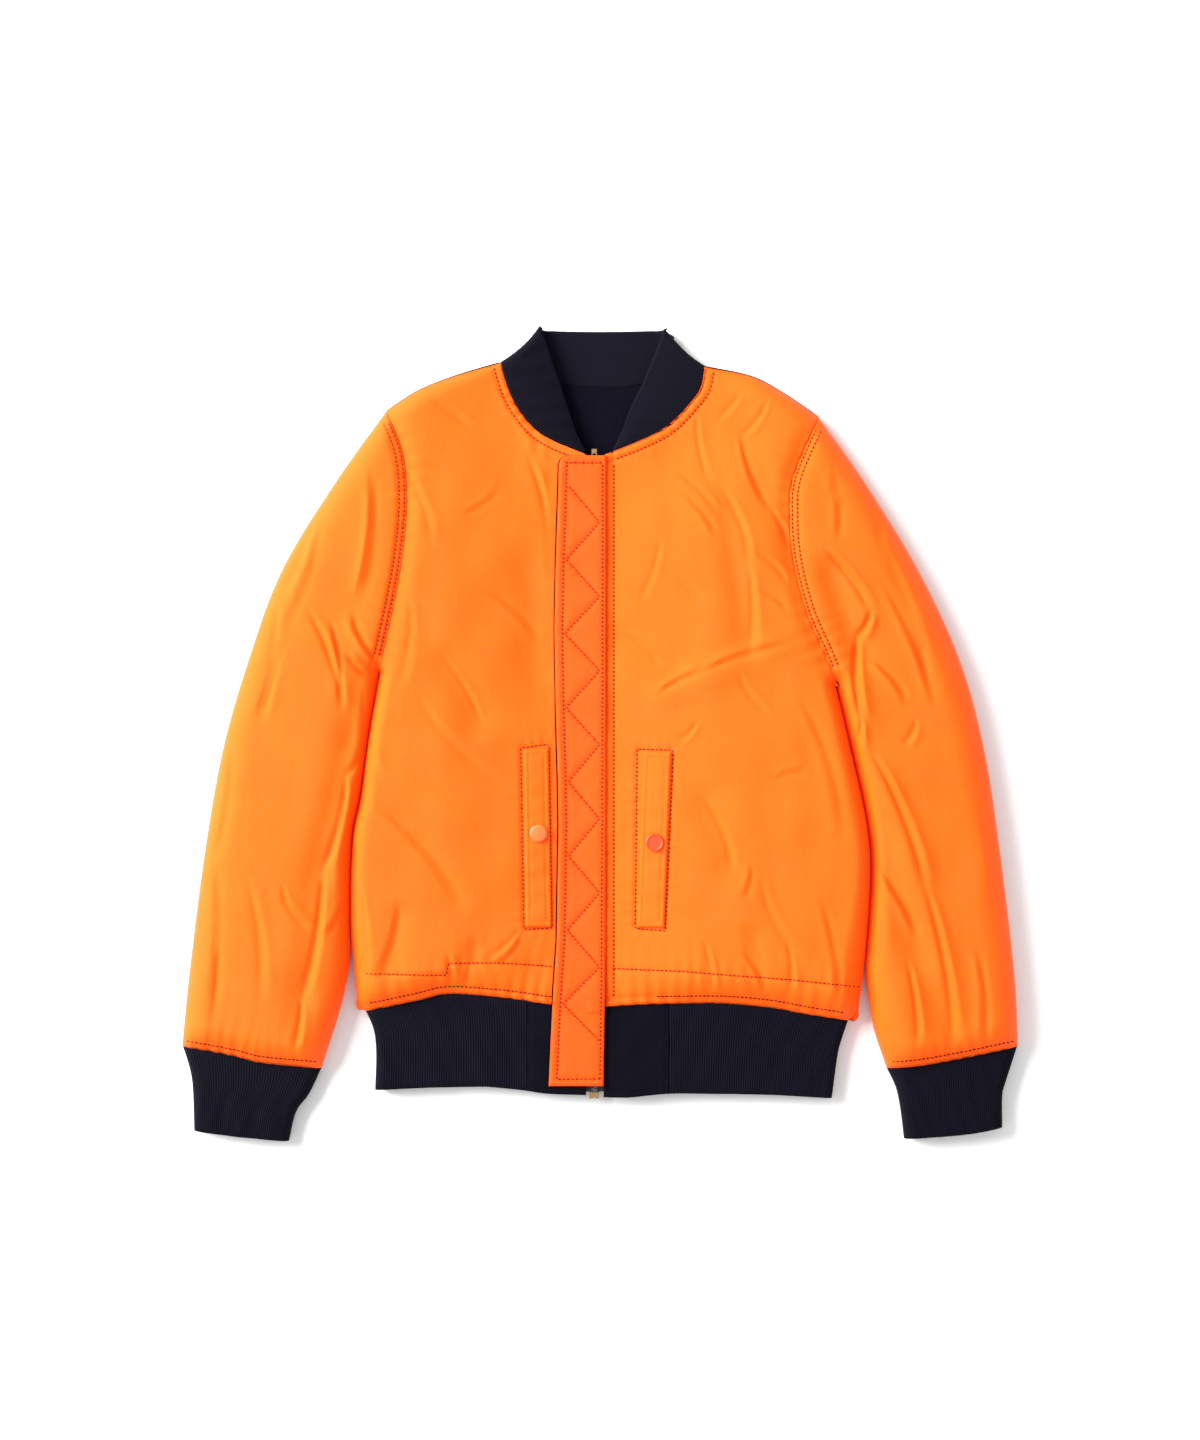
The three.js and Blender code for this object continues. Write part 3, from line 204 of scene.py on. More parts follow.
# Creases by the photo's pixels, from one end to the other: half width and depth in millimetres.
# A crease bows to its left by bow millimetres, and has a ridge beside it on the side that lean gives.
CREASES = table("px0 py0 px1 py1 bow width depth lean", [
    (529, 458, 555, 567, 4, 5, 1.5, 1), (555, 567, 555, 700, 3, 5, 1.3, 1),
    (443, 656, 482, 722, 3, 3, 1.1, 1), (462, 516, 501, 490, -3, 4, 0.7, 1),
    (373, 801, 462, 903, 8, 6, 1.1, -1), (520, 929, 488, 957, 2, 3, 1.2, 1),
    (522, 935, 502, 962, 2, 3, 1.1, -1), (449, 954, 451, 985, 1, 3.5, 1.6, 1),
    (470, 960, 466, 984, 1, 3, 1, -1), (405, 470, 432, 545, 5, 5, 0.9, 1),
    (420, 700, 500, 780, -6, 6, 0.9, 1), (400, 905, 380, 975, 4, 5, 1.1, -1),
    (430, 400, 470, 430, 3, 5, 0.8, 1), (486, 590, 540, 640, 5, 5, 0.8, -1),
    (365, 690, 380, 780, -4, 5, 1.1, 1), (500, 390, 540, 455, 6, 5, 0.8, -1),
    (360, 880, 366, 985, 3, 4, 1.2, 1), (410, 600, 398, 690, 5, 6, 0.8, 1),
    (309, 608, 344, 710, 5, 4, 1.6, 1), (332, 621, 344, 700, 3, 3.5, 1.3, -1),
    (312, 519, 278, 599, 5, 5, 1.5, 1), (278, 599, 262, 720, 4, 5, 1.4, 1),
    (322, 529, 287, 631, 4, 4.5, 1.3, -1), (287, 631, 258, 720, 4, 4.5, 1.1, -1),
    (381, 664, 354, 615, 3, 4, 1.8, 1), (378, 680, 348, 655, 3, 3.5, 1.4, -1),
    (367, 471, 354, 599, 6, 6, -1.3, 1), (233, 744, 217, 859, 4, 5, 1.5, -1),
    (217, 859, 215, 1018, 4, 5, 1.4, -1), (370, 734, 348, 776, 3, 4, 2.2, 1),
    (348, 776, 324, 871, 4, 4.5, 2.2, 1), (324, 871, 303, 999, 4, 5, 2.1, 1),
    (303, 999, 297, 1047, 1, 4, 1.6, 1), (349, 884, 329, 935, 3, 3.5, 1.5, -1),
    (284, 887, 309, 925, -4, 4, 1.3, 1), (250, 880, 262, 1000, 5, 6, 0.9, 1),
    (741, 392, 716, 420, 2, 3.5, 1.1, 1), (767, 401, 741, 436, 3, 3.5, 1.3, 1),
    (741, 436, 770, 510, -4, 4, 1.5, -1), (770, 510, 788, 548, 2, 4, 1.3, 1),
    (722, 490, 748, 567, 5, 4.5, 1.6, 1), (748, 567, 749, 653, 3, 5, 1.4, 1),
    (678, 474, 716, 513, 3, 3.5, 1.2, 1), (681, 494, 716, 535, 3, 3.5, 1.1, -1),
    (697, 417, 709, 484, -3, 4, 1, 1), (752, 551, 786, 583, 3, 3.5, 1.3, 1),
    (754, 589, 786, 608, 2, 3.5, 1.2, -1), (623, 634, 662, 666, 3, 3.5, 1.2, 1),
    (658, 694, 703, 672, 2, 4, 1.6, 1), (703, 672, 783, 647, 3, 4.5, 1.7, 1),
    (738, 675, 770, 717, -3, 4, 1.1, 1), (697, 721, 678, 741, 2, 3, 1.2, 1),
    (703, 798, 732, 871, 5, 4.5, 1.4, 1), (751, 865, 744, 897, 2, 4, 1.1, -1),
    (773, 779, 805, 772, 2, 4, 1, 1), (703, 940, 713, 992, 2, 3, 1.4, 1),
    (742, 950, 765, 990, 3, 3.5, 1.4, -1), (786, 940, 790, 988, 2, 3, 1.3, 1),
    (820, 900, 838, 1000, 4, 4.5, 1.2, -1), (646, 560, 700, 600, 4, 5, 0.8, 1),
    (800, 700, 842, 840, 8, 6, 1, -1), (660, 540, 640, 600, 3, 4, 0.8, 1), (760, 880, 800, 960, -5, 5, 1, 1),
    (869, 612, 856, 637, 2, 4, 2.4, 1), (856, 637, 859, 720, -3, 5, 2.6, 1),
    (859, 720, 851, 756, 2, 4, 1.9, 1), (824, 551, 869, 612, 3, 4, 1.8, 1),
    (853, 471, 882, 551, 4, 4.5, 1.4, 1), (882, 551, 926, 679, 5, 5, 1.6, 1),
    (882, 586, 933, 704, 4, 4, 1.3, -1), (872, 756, 923, 887, 5, 5, 2, 1),
    (923, 887, 952, 1047, 5, 5, 1.8, 1), (869, 859, 917, 935, 4, 4.5, 1.7, -1),
    (977, 801, 993, 903, 3, 5, 1.3, -1), (914, 721, 901, 744, 2, 4, 1.2, 1), (960, 700, 985, 800, 5, 6, 1, 1),
    (905, 960, 915, 1045, 3, 4, 1.4, 1), (975, 950, 984, 1035, 3, 5, 1.1, -1),
    (830, 470, 838, 540, 3, 4, 1, -1), (930, 610, 960, 700, 4, 5, 1, 1), (870, 660, 905, 700, 3, 4, 1.4, -1),
])

# Like creases underneath, where the photo doesn't show: on the back, then on the two sleeves.
HIDDEN_CREASES = table("px0 py0 px1 py1 bow width depth lean", [
    (430, 470, 452, 640, 6, 6, 1.6, 1), (470, 560, 520, 690, -6, 6, 1.4, -1),
    (760, 480, 738, 640, -5, 6, 1.7, 1), (700, 520, 668, 700, 7, 7, 1.3, 1),
    (400, 700, 520, 760, 8, 6, 1.5, 1), (800, 690, 690, 752, -7, 6, 1.6, -1),
    (560, 420, 640, 432, 4, 6, 1.2, 1), (440, 820, 470, 960, 5, 6, 1.6, 1),
    (610, 800, 590, 950, -6, 7, 1.4, 1), (720, 830, 762, 960, 6, 6, 1.5, -1),
    (520, 900, 540, 985, 3, 5, 1.5, 1), (670, 900, 660, 988, 3, 5, 1.4, -1),
    (390, 900, 398, 985, 3, 5, 1.3, 1), (810, 900, 800, 988, -3, 5, 1.3, 1),
    (352, 560, 300, 720, 6, 6, 1.7, 1), (365, 700, 310, 860, -5, 6, 1.8, 1),
    (262, 700, 240, 900, 5, 6, 1.4, -1), (320, 900, 290, 1030, 4, 5, 1.5, 1),
    (235, 920, 230, 1020, 3, 5, 1.2, 1), (850, 560, 905, 720, -6, 6, 1.7, 1),
    (880, 730, 930, 880, 5, 6, 1.8, -1), (950, 700, 972, 900, -5, 6, 1.4, 1),
    (905, 910, 925, 1035, 4, 5, 1.5, 1), (975, 930, 985, 1020, 3, 5, 1.2, -1),
])

# Rows of stitching on the fronts by the photo's pixels.
HEMLINES = [
    [(366, 972), (447, 974), (449, 962), (500, 962), (552, 966)],
    [(612, 968), (680, 970), (790, 978), (858, 985)],
]
WELT_STITCHES = [
    [(521, 748), (549, 744), (552, 928), (524, 929), (521, 748)],
    [(637, 749), (673, 750), (665, 930), (635, 928), (637, 749)],
]


def on_jacket(px, py):
    """The place in millimetres of a pixel of the photo."""
    return (px - PHOTO_MIDDLE[0]) * PHOTO_SCALE, (PHOTO_MIDDLE[1] - py) * PHOTO_SCALE


def mix(start, end, t):
    return start + (end - start) * t


def smooth(t):
    t = np.clip(t, 0, 1)
    return t * t * (3 - 2 * t)


def bell(t):
    return np.exp(-t * t)


CURVE_STEPS = 40


class Line:
    """A smooth curve through plan points, read by the share of its length."""

    def __init__(self, points, straight=False):
        ends = np.array(points, float)
        if straight:
            self.path = ends
        else:
            t = np.linspace(0, len(ends) - 1, CURVE_STEPS * (len(ends) - 1) + 1)
            i = np.minimum(t.astype(int), len(ends) - 2)
            w = (t - i)[:, None]
            padded = np.vstack([ends[:1], ends, ends[-1:]])
            p0, p1, p2, p3 = (padded[i + k] for k in range(4))
            v0 = (p2 - p0) / 2
            v1 = (p3 - p1) / 2
            cubic = (2 * p1 - 2 * p2 + v0 + v1) * w**3
            self.path = cubic + (3 * p2 - 3 * p1 - 2 * v0 - v1) * w**2 + v0 * w + p1
        steps = np.linalg.norm(np.diff(self.path, axis=0), axis=1)
        self.run = np.concatenate([[0], np.cumsum(steps)])
        self.length = self.run[-1]

    def at(self, t):
        s = np.clip(t, 0, 1) * self.length
        return np.stack([np.interp(s, self.run, self.path[:, k]) for k in (0, 1)], -1)

    def back(self, t):
        return self.at(1 - np.asarray(t))

    def share(self, x):
        """The share of its length where it has this x."""
        order = np.argsort(self.path[:, 0])
        return np.interp(x, self.path[order, 0], self.run[order]) / self.length

    def offset(self, distance):
        """The line moved to its left."""
        run = np.gradient(self.path, axis=0)
        run /= np.linalg.norm(run, axis=1)[:, None]
        return Line(self.path + distance * np.stack([-run[:, 1], run[:, 0]], 1), straight=True)


def straight(start, end):
    return lambda t: mix(np.array(start, float), np.array(end, float), np.asarray(t)[..., None])


def part_of(along, start, end):
    return lambda t: along(mix(start, end, np.asarray(t)))


def chain(first, second, share):
    """Two curves end to end, the first taking the given share."""
    def along(t):
        t = np.asarray(t)
        lower = first(np.minimum(t / share, 1))
        upper = second(np.maximum((t - share) / (1 - share), 0))
        return np.where((t < share)[..., None], lower, upper)
    return along


def patch(near, far, start, end, bulge=1):
    """The patch between four edges: near and far run along a, start and end along b.

    The higher the bulge, the closer to the end its curve is felt.
    """
    none, whole = np.zeros(1), np.ones(1)

    def plan(a, b):
        u, v = a[..., None] ** bulge, b[..., None]
        made = (1 - v) * near(a) + v * far(a) + (1 - u) * start(b) + u * end(b)
        made -= (1 - u) * ((1 - v) * near(none) + v * far(none))
        return made - u * ((1 - v) * near(whole) + v * far(whole))
    return plan


# How many stretches a smooth curve has, and how many points are measured at a time.
STRETCHES = 48
BATCH = 6000


class Stretches:
    """Short straight stretches along lines, for distances from them and places along them.

    Distances count more along the first line where it is pressed. Cornered lines keep their corners.
    """

    def __init__(self, curves, press=None, cornered=False):
        steps = np.linspace(0, 1, STRETCHES + 1)
        points = [line.path if cornered else line.at(steps) for line in curves]
        self.start = np.vstack([p[:-1] for p in points])
        self.run = np.vstack([np.diff(p, axis=0) for p in points])
        begun = [line.run[:-1] if cornered else steps[:-1] * line.length for line in curves]
        self.begun = np.concatenate(begun)
        self.press = np.ones(len(self.start))
        if press:
            self.press[:STRETCHES] = press(steps[1:])

    def joined(self, *others):
        made = Stretches.__new__(Stretches)
        for name in ("start", "run", "begun", "press"):
            setattr(made, name, np.concatenate([getattr(s, name) for s in (self, *others)]))
        return made

    def measure(self, points):
        """For each point: the distance, the length run along, the side (1 at the left) and the press."""
        square = (self.run**2).sum(1)
        found = []
        for chunk in np.array_split(points, len(points) // BATCH + 1):
            off = chunk[:, None] - self.start
            t = np.clip((off * self.run).sum(2) / square, 0, 1)
            off = off - t[..., None] * self.run
            distance = np.hypot(off[..., 0], off[..., 1]) * self.press
            k = distance.argmin(1)
            row = np.arange(len(chunk))
            side = np.sign(self.run[k, 0] * off[row, k, 1] - self.run[k, 1] * off[row, k, 0])
            run = self.begun[k] + t[row, k] * np.sqrt(square[k])
            found.append(np.stack([distance[row, k], run, side, self.press[k]]))
        return np.concatenate(found, axis=1)

    def distance(self, points):
        return self.measure(points)[0]


# The share of a fold's length where its press begins to ease, and over how much it eases.
PRESS_EASE = 0.45


def pressed(t):
    """How much a fold is pressed, from the underarm to the hem or the cuff."""
    return mix(PRESS, 1, smooth((t - PRESS_EASE) / PRESS_EASE))


def lines(sides):
    return {side: Line(points) for side, points in sides.items()}


def photo_lines(rows):
    """Straight-sided lines through pixels of the photo."""
    return [Line([on_jacket(*p) for p in row], straight=True) for row in rows]


def upright(x, high, low):
    return Line([(x, high), (x, low)], straight=True)


shoulder, armhole, body_side, neckline = map(lines, (SHOULDER, ARMHOLE, SIDE, NECKLINE))
hem, rib_side, rib_end = map(lines, (HEM, RIB_SIDE, RIB_END))
sleeve_outer, sleeve_inner, cuff_seam = map(lines, (SLEEVE_OUTER, SLEEVE_INNER, CUFF_SEAM))
cuff_outer, cuff_inner, cuff_end = map(lines, (CUFF_OUTER, CUFF_INNER, CUFF_END))
collar_fold, collar_free = map(lines, (COLLAR_FOLD, COLLAR_FREE))

outer_folds = {s: Stretches([shoulder[s], sleeve_outer[s], cuff_outer[s]]) for s in SIDES}
side_folds = {s: Stretches([body_side[s], rib_side[s]], lambda t: pressed(1 - t)) for s in SIDES}
inner_folds = {s: Stretches([sleeve_inner[s], cuff_inner[s]], pressed) for s in SIDES}
body_folds = outer_folds["right"].joined(outer_folds["left"], side_folds["right"], side_folds["left"])
sleeve_folds = {s: outer_folds[s].joined(inner_folds[s]) for s in SIDES}
collar_folds = Stretches([collar_fold["right"], collar_fold["left"]])
neck_seams = Stretches([neckline[s] for s in SIDES])
hem_seams = Stretches([hem[s] for s in SIDES])
cuff_seams = Stretches([cuff_seam[s] for s in SIDES])
arm_seams = Stretches([armhole[s] for s in SIDES])
hemlines = Stretches(photo_lines(HEMLINES))
welt_stitches = Stretches(photo_lines(WELT_STITCHES))
front_edges = Stretches([upright(FRONT_EDGE["left"], *EDGE_ENDS)])


def uneven_wave(run, pitch, seed):
    """A wave along a seam whose pitch and height drift, so that no two puckers are alike."""
    drift = 1.7 * np.sin(run / (pitch * 2.3) + seed) + 1.1 * np.sin(run / (pitch * 5.1) + 2.4 * seed)
    height = 0.62 + 0.38 * np.sin(run / (pitch * 1.7) + 3.1 * seed)
    return np.sin(2 * math.pi * run / pitch + drift) * height


# The two sides of a seam don't pucker at the same places.
PUCKER_SHIFT = 1.3


def puckers(points, rows):
    """Puckers that stand square to their seams and die away from them."""
    total = np.zeros(len(points))
    for r in rows:
        distance, run, side, _ = r["seams"].measure(points)
        wave = uneven_wave(run + PUCKER_SHIFT * side, r["pitch"], r["seed"])
        total += r["depth"] * wave * np.exp(-distance / r["reach"])
    return total


FRONT_PUCKERS = table("seams pitch depth reach seed", [
    (neck_seams, 8.5, 0.6, 9, 1), (arm_seams, 13, 0.7, 12, 2), (hem_seams, 5.6, 0.3, 6, 3),
    (hem_seams, 13, 0.9, 20, 4), (hemlines, 11, 0.55, 9, 5), (welt_stitches, 9, 0.5, 6, 6),
    (front_edges, 8, 0.5, 8, 7),
])
SLEEVE_PUCKERS = table("seams pitch depth reach seed", [
    (arm_seams, 11, 0.8, 14, 8), (cuff_seams, 5.8, 0.3, 6, 9), (cuff_seams, 12, 0.9, 17, 10),
])

waves = np.random.default_rng(7)
SWELLS = table("angle length phase height", [
    (waves.uniform(0, math.pi), waves.uniform(22, 95), waves.uniform(0, 2 * math.pi), waves.uniform(0.4, 1))
    for _ in range(26)
])
SWELL_HEIGHT = 0.16
SWELL_BEND = {"height": 6, "length": 61}


def swell(points):
    """The padding's slight unevenness, from long and short waves that run every way."""
    total = np.zeros(len(points))
    for w in SWELLS:
        across = points[:, 0] * math.cos(w["angle"]) + points[:, 1] * math.sin(w["angle"])
        askew = (points[:, 0] - points[:, 1]) / SWELL_BEND["length"]
        bend = SWELL_BEND["height"] * np.sin(askew + w["phase"])
        total += w["height"] * np.sin(2 * math.pi * (across + bend) / w["length"] + w["phase"])
    return SWELL_HEIGHT * total


def ending(t, rate, floor):
    """One along most of a line, less at its two ends."""
    return smooth(t * rate + floor) * smooth((1 - t) * rate + floor)


FOLD_ENDS = (3, 0.6)
CREASE_ENDS = (3.2, 0.25)


def folds_depth(points):
    total = np.zeros(len(points))
    for f in FOLDS:
        run = np.array([f["x1"] - f["x0"], f["y1"] - f["y0"]], float)
        off = points - (f["x0"], f["y0"])
        t = off @ run / (run @ run)
        across = (off[:, 0] * run[1] - off[:, 1] * run[0]) / np.linalg.norm(run)
        total += f["depth"] * bell(across / f["width"]) * ending(t, *FOLD_ENDS)
    return total


SHARPNESS = {"share": 0.45, "rate": 2.2}


def crisp(t):
    """A bell with a sharper middle, as creased nylon has."""
    return mix(bell(t), np.exp(-SHARPNESS["rate"] * np.abs(t)), SHARPNESS["share"])


SLEEVE_CREASES = 1.45
CREASE = {"strength": 1.3, "width": 0.82, "start": 0.65, "widening": 0.5}
CREASE_RIDGE = {"off": 1.6, "width": 1.3, "height": 0.6}


def creases_depth(points, creases=CREASES):
    """The fine creases: each a soft trough with a lower ridge beside it, fading at both ends."""
    total = np.zeros(len(points))
    for c in creases:
        start = np.array(on_jacket(c["px0"], c["py0"]))
        run = np.array(on_jacket(c["px1"], c["py1"])) - start
        length = np.linalg.norm(run)
        off = points - start
        t = off @ run / length**2
        across = (off[:, 1] * run[0] - off[:, 0] * run[1]) / length - c["bow"] * 4 * t * (1 - t)
        width = CREASE["width"] * c["width"] * (CREASE["start"] + CREASE["widening"] * np.clip(t, 0, 1))
        ridge = crisp((across - c["lean"] * CREASE_RIDGE["off"] * width) / (CREASE_RIDGE["width"] * width))
        shape = crisp(across / width) - CREASE_RIDGE["height"] * ridge
        total += CREASE["strength"] * c["depth"] * shape * ending(t, *CREASE_ENDS)
    return total


def padded_top(points):
    top = BODY_TOP - ZIP_VALLEY["drop"] * bell((points[:, 0] - ZIP_VALLEY["x"]) / ZIP_VALLEY["width"])
    top *= 1 - YOKE_DROP["amount"] * smooth((points[:, 1] - YOKE_DROP["start"]) / YOKE_DROP["over"])
    neck = neck_seams.distance(points)
    top = mix(NECK_TOP, top, smooth(neck / NECK_REACH))
    dip = SEAM_DIP["depth"] * bell(arm_seams.distance(points) / SEAM_DIP["width"])
    return top - dip - folds_depth(points) * smooth(neck / NECK_REACH)


def over_seam(seams, low, reach, points):
    rise = np.sin(np.clip(seams.distance(points) / reach, 0, 1) * math.pi / 2)
    return mix(low, padded_top(points), rise)


# Between these places the cloth lies flat under the zip flap, and it rises beside them over the last value.
UNDER_FLAP = {"from": -50, "to": 12, "over": 8}
FLAP_INNER_SIDE = 3


def beside_flap(points):
    """Nothing under the zip flap, one everywhere else."""
    x, over = points[:, 0], UNDER_FLAP["over"]
    return 1 - smooth((x - UNDER_FLAP["from"]) / over) * smooth((UNDER_FLAP["to"] - x) / over)


# The deepest that the fine relief goes into a wall, over the jacket and under it.
DEEPEST = -3.2
HOLLOW = 2.6
GROOVE = {"depth": 1.0, "width": 1.5}
EDGE_ROUND = {"depth": 1.8, "width": 3.2}
# How deep each row of stitches lies, and how round each seam's padded edge is, as a share of the full value.
HEMLINE_GROOVE = 0.8
WELT_GROOVE = 0.5
ROUND = {"hem": 0.8, "arm": 0.5, "edge": 0.6, "cuff": 0.8, "flap": 0.9, "welt": 0.8, "tab": 0.4}


def groove(distance, share=1.0):
    return share * GROOVE["depth"] * bell(distance / GROOVE["width"])


def rounded(distance):
    """How much a padded edge drops where it turns into its seam."""
    t = np.clip(distance / EDGE_ROUND["width"], 0, 1)
    return EDGE_ROUND["depth"] * (1 - np.sqrt(1 - (1 - t) ** 2))


# The fine relief fades towards the fold lines, so that the cloth meets there without a gap.
FOLD_FADE = 5.5


def fading(folds, points):
    return np.clip(folds.distance(points) / FOLD_FADE, 0, 1)


NECK_STITCH = 6.5
HEM_STITCH = 6.9
CUFF_STITCH = 6.5
ARM_STITCHES = (2.6, 7.0)
EDGE_STITCH = 7.5


def front_plain(points):
    return over_seam(hem_seams, WAIST_TOP + RIB_SINK * beside_flap(points), WAIST_REACH, points)


def front_fine(points):
    fine = swell(points) - creases_depth(points) + puckers(points, FRONT_PUCKERS)
    neck, hems, arms, rows, edge = (
        s.distance(points) for s in (neck_seams, hem_seams, arm_seams, hemlines, front_edges)
    )
    left = points[:, 0] > 0
    fine -= groove(hems - HEM_STITCH) + groove(neck - NECK_STITCH) + groove(rows, HEMLINE_GROOVE)
    fine -= groove(welt_stitches.distance(points)) + groove(edge - EDGE_STITCH) * left
    fine -= rounded(neck) + rounded(hems) * ROUND["hem"] + rounded(arms) * ROUND["arm"]
    fine -= rounded(edge) * ROUND["edge"] * left
    return fine * np.maximum(beside_flap(points), points[:, 0] > FLAP_INNER_SIDE) * fading(body_folds, points)


def front_top(points):
    return front_plain(points) + np.maximum(front_fine(points), DEEPEST)


def sleeve_plain(points):
    return over_seam(cuff_seams, CUFF_TOP + RIB_SINK, CUFF_REACH, points)


def sleeve_fine(points):
    fine = swell(points) - SLEEVE_CREASES * creases_depth(points) + puckers(points, SLEEVE_PUCKERS)
    arms, cuffs = (s.distance(points) for s in (arm_seams, cuff_seams))
    fine -= groove(cuffs - CUFF_STITCH) + rounded(cuffs) * ROUND["cuff"] + rounded(arms)
    for offset in ARM_STITCHES:
        fine -= groove(arms - offset)
    return fine * np.minimum(*(fading(sleeve_folds[side], points) for side in SIDES))


def sleeve_top(points):
    return sleeve_plain(points) + np.maximum(sleeve_fine(points), DEEPEST)


def middle_top(points):
    """The padded tops under the flap, running on over the waistband."""
    top = over_seam(hem_seams, WAIST_TOP, WAIST_REACH, points)
    return np.where(points[:, 1] > HEM["right"][0][1], top, WAIST_TOP)


LEAST_RISE = 2


def drape(sheet, points, folds, top):
    """Heights of cloth that lies over or under the jacket and rolls into its folds."""
    distance, _, _, press = folds.measure(points)
    distance = np.where(distance < ON_FOLD, 0, distance)
    if sheet == "under":
        angle = np.arccos(np.clip(1 - distance / (UNDER_REACH * press), 0, 1))
        return FOLD_Z * (1 - np.sin(angle))
    rise = np.maximum(top - FOLD_Z, LEAST_RISE)
    angle = np.arccos(np.clip(1 - distance / (rise * OVER_REACH), 0, 1))
    return FOLD_Z + rise * np.sin(angle)


TURN_STEPS = 13


def fold_steps(length, pitch, reach, start=True):
    """Steps from 0 to 1 over a length, closer where it rolls into a fold."""
    turned = reach * (1 - np.cos(np.linspace(0, math.pi / 2, TURN_STEPS)))
    inside = np.arange(reach * start, length - reach, pitch)
    if start:
        inside = inside[1:]
    steps = np.concatenate([turned[:-1] * start, inside, length - turned[::-1], [length]])
    steps = np.unique(np.round(np.clip(steps, 0, length), 3))
    return steps / length


def even(count):
    return np.linspace(0, 1, count + 1)


def ridges(length):
    return round(length / RIB_PITCH)


def rib_steps(length):
    """Steps over a ribbed length: four for each ridge."""
    return even(4 * ridges(length))


TINY = 1e-12
FACING_ROUNDS = 2


def facing(grid, tube):
    """Normals of a grid of points, by its columns and rows."""
    if tube:
        grid = np.concatenate([grid[-1:], grid, grid[:1]])
    normal = np.cross(np.gradient(grid, axis=0), np.gradient(grid, axis=1))
    for _ in range(FACING_ROUNDS):
        normal /= np.linalg.norm(normal, axis=2, keepdims=True) + TINY
        normal[:, 1:-1] = (normal[:, :-2] + 2 * normal[:, 1:-1] + normal[:, 2:]) / 4
    normal /= np.linalg.norm(normal, axis=2, keepdims=True) + TINY
    return normal[1:-1] if tube else normal


# The bright cloth is turned in at the edges: how far from a piece's middle its lining ends.
TURNED_IN = {"rows": 0.47, "columns": 0.44}
# A cloth grid begins as a square of side 1, and what lies further out than this is on its rim.
RIM = 0.4999
UNIT_WALL = 0.1
MERGE = 1e-6


class Cloth:
    """A cloth piece in the making: stretches of columns side by side, each with its patch and its sheet.

    Its plain shape and the fine relief on its outside are kept apart, so that the inside stays plain.
    """

    def __init__(self, name, rows, folds, plain, fine=None):
        self.name, self.rows, self.folds, self.plain, self.fine = name, np.asarray(rows), folds, plain, fine
        self.plains, self.outers, self.sheets = [], [], []

    def add(self, plan, sheet, steps, relief=None):
        a, b = np.meshgrid(np.asarray(steps, float), self.rows, indexing="ij")
        points = plan(a, b).reshape(-1, 2)
        level = self.plain(points, b.ravel()) if self.plain is collar_height else self.plain(points)
        plain = drape(sheet, points, self.folds, level)
        raised = level if self.fine is None else level + np.maximum(self.fine(points), DEEPEST)
        outer = drape(sheet, points, self.folds, raised)
        if relief is not None:
            outer = outer + relief(a, b).ravel() * (1 if sheet == "over" else -1)
        elif sheet == "under":
            outer = outer + np.clip(creases_depth(points, HIDDEN_CREASES) + swell(points), 0, HOLLOW)
        shape = (*a.shape, 3)
        self.plains.append(np.column_stack([points, plain]).reshape(shape))
        self.outers.append(np.column_stack([points, outer]).reshape(shape))
        self.sheets.append(np.full(len(steps), sheet == "over"))

    def finish(self, wall, outside, inside, tube=False, lining_edge=0, lined_neck=0):
        """Makes the closed shell: the outer grid with its relief, the plain inner grid, and the rims.

        Where asked, the lining stands out beside the first column by its edge, or covers the rim at the neck.
        """
        plain, outer = np.concatenate(self.plains), np.concatenate(self.outers)
        over = np.concatenate(self.sheets)
        normal = facing(plain, tube)
        upward = (normal[..., 2] * np.where(over, 1, -1)[:, None]).mean() > 0
        normal *= 1 if upward else -1
        layers = [outer, plain - wall * normal]
        layers[1][0, :, 0] -= lining_edge
        if tube:
            layers = [np.concatenate([layer, layer[:1]]) for layer in layers]
        columns, rows = layers[0].shape[:2]
        bm = bmesh.new()
        bmesh.ops.create_grid(bm, x_segments=columns - 1, y_segments=rows - 1, size=0.5)
        bmesh.ops.solidify(bm, geom=bm.faces[:], thickness=UNIT_WALL)
        if tube:
            ends = [f for f in bm.faces if min(abs(v.co.x) for v in f.verts) > RIM]
            bmesh.ops.delete(bm, geom=ends, context="FACES_ONLY")
        middle = sum(v.co.z for v in bm.verts) / len(bm.verts)
        below = {v for v in bm.verts if v.co.z < middle}
        for face in bm.faces:
            piped = lining_edge > 0 and all(v.co.x < -RIM for v in face.verts)
            piped |= all(v.co.y > RIM and abs(v.co.x) < lined_neck for v in face.verts)
            turned_in = any(v.co.y < -TURNED_IN["rows"] for v in face.verts)
            turned_in |= not tube and any(abs(v.co.x) > TURNED_IN["columns"] for v in face.verts)
            face.material_index = int(piped or (all(v in below for v in face.verts) and not turned_in))
            face.smooth = True
        for v in bm.verts:
            i = round((v.co.x + 0.5) * (columns - 1))
            j = round((v.co.y + 0.5) * (rows - 1))
            v.co = layers[v in below][i, j] * MM
        if tube:
            bmesh.ops.remove_doubles(bm, verts=bm.verts, dist=MERGE)
        if not upward:
            bmesh.ops.reverse_faces(bm, faces=bm.faces[:])
        return mesh_object(self.name, bm, [outside, inside])


def mesh_object(name, bm, materials):
    mesh = bpy.data.meshes.new(name)
    bm.to_mesh(mesh)
    bm.free()
    for material in materials:
        mesh.materials.append(material)
    obj = bpy.data.objects.new(name, mesh)
    bpy.context.scene.collection.objects.link(obj)
    return obj


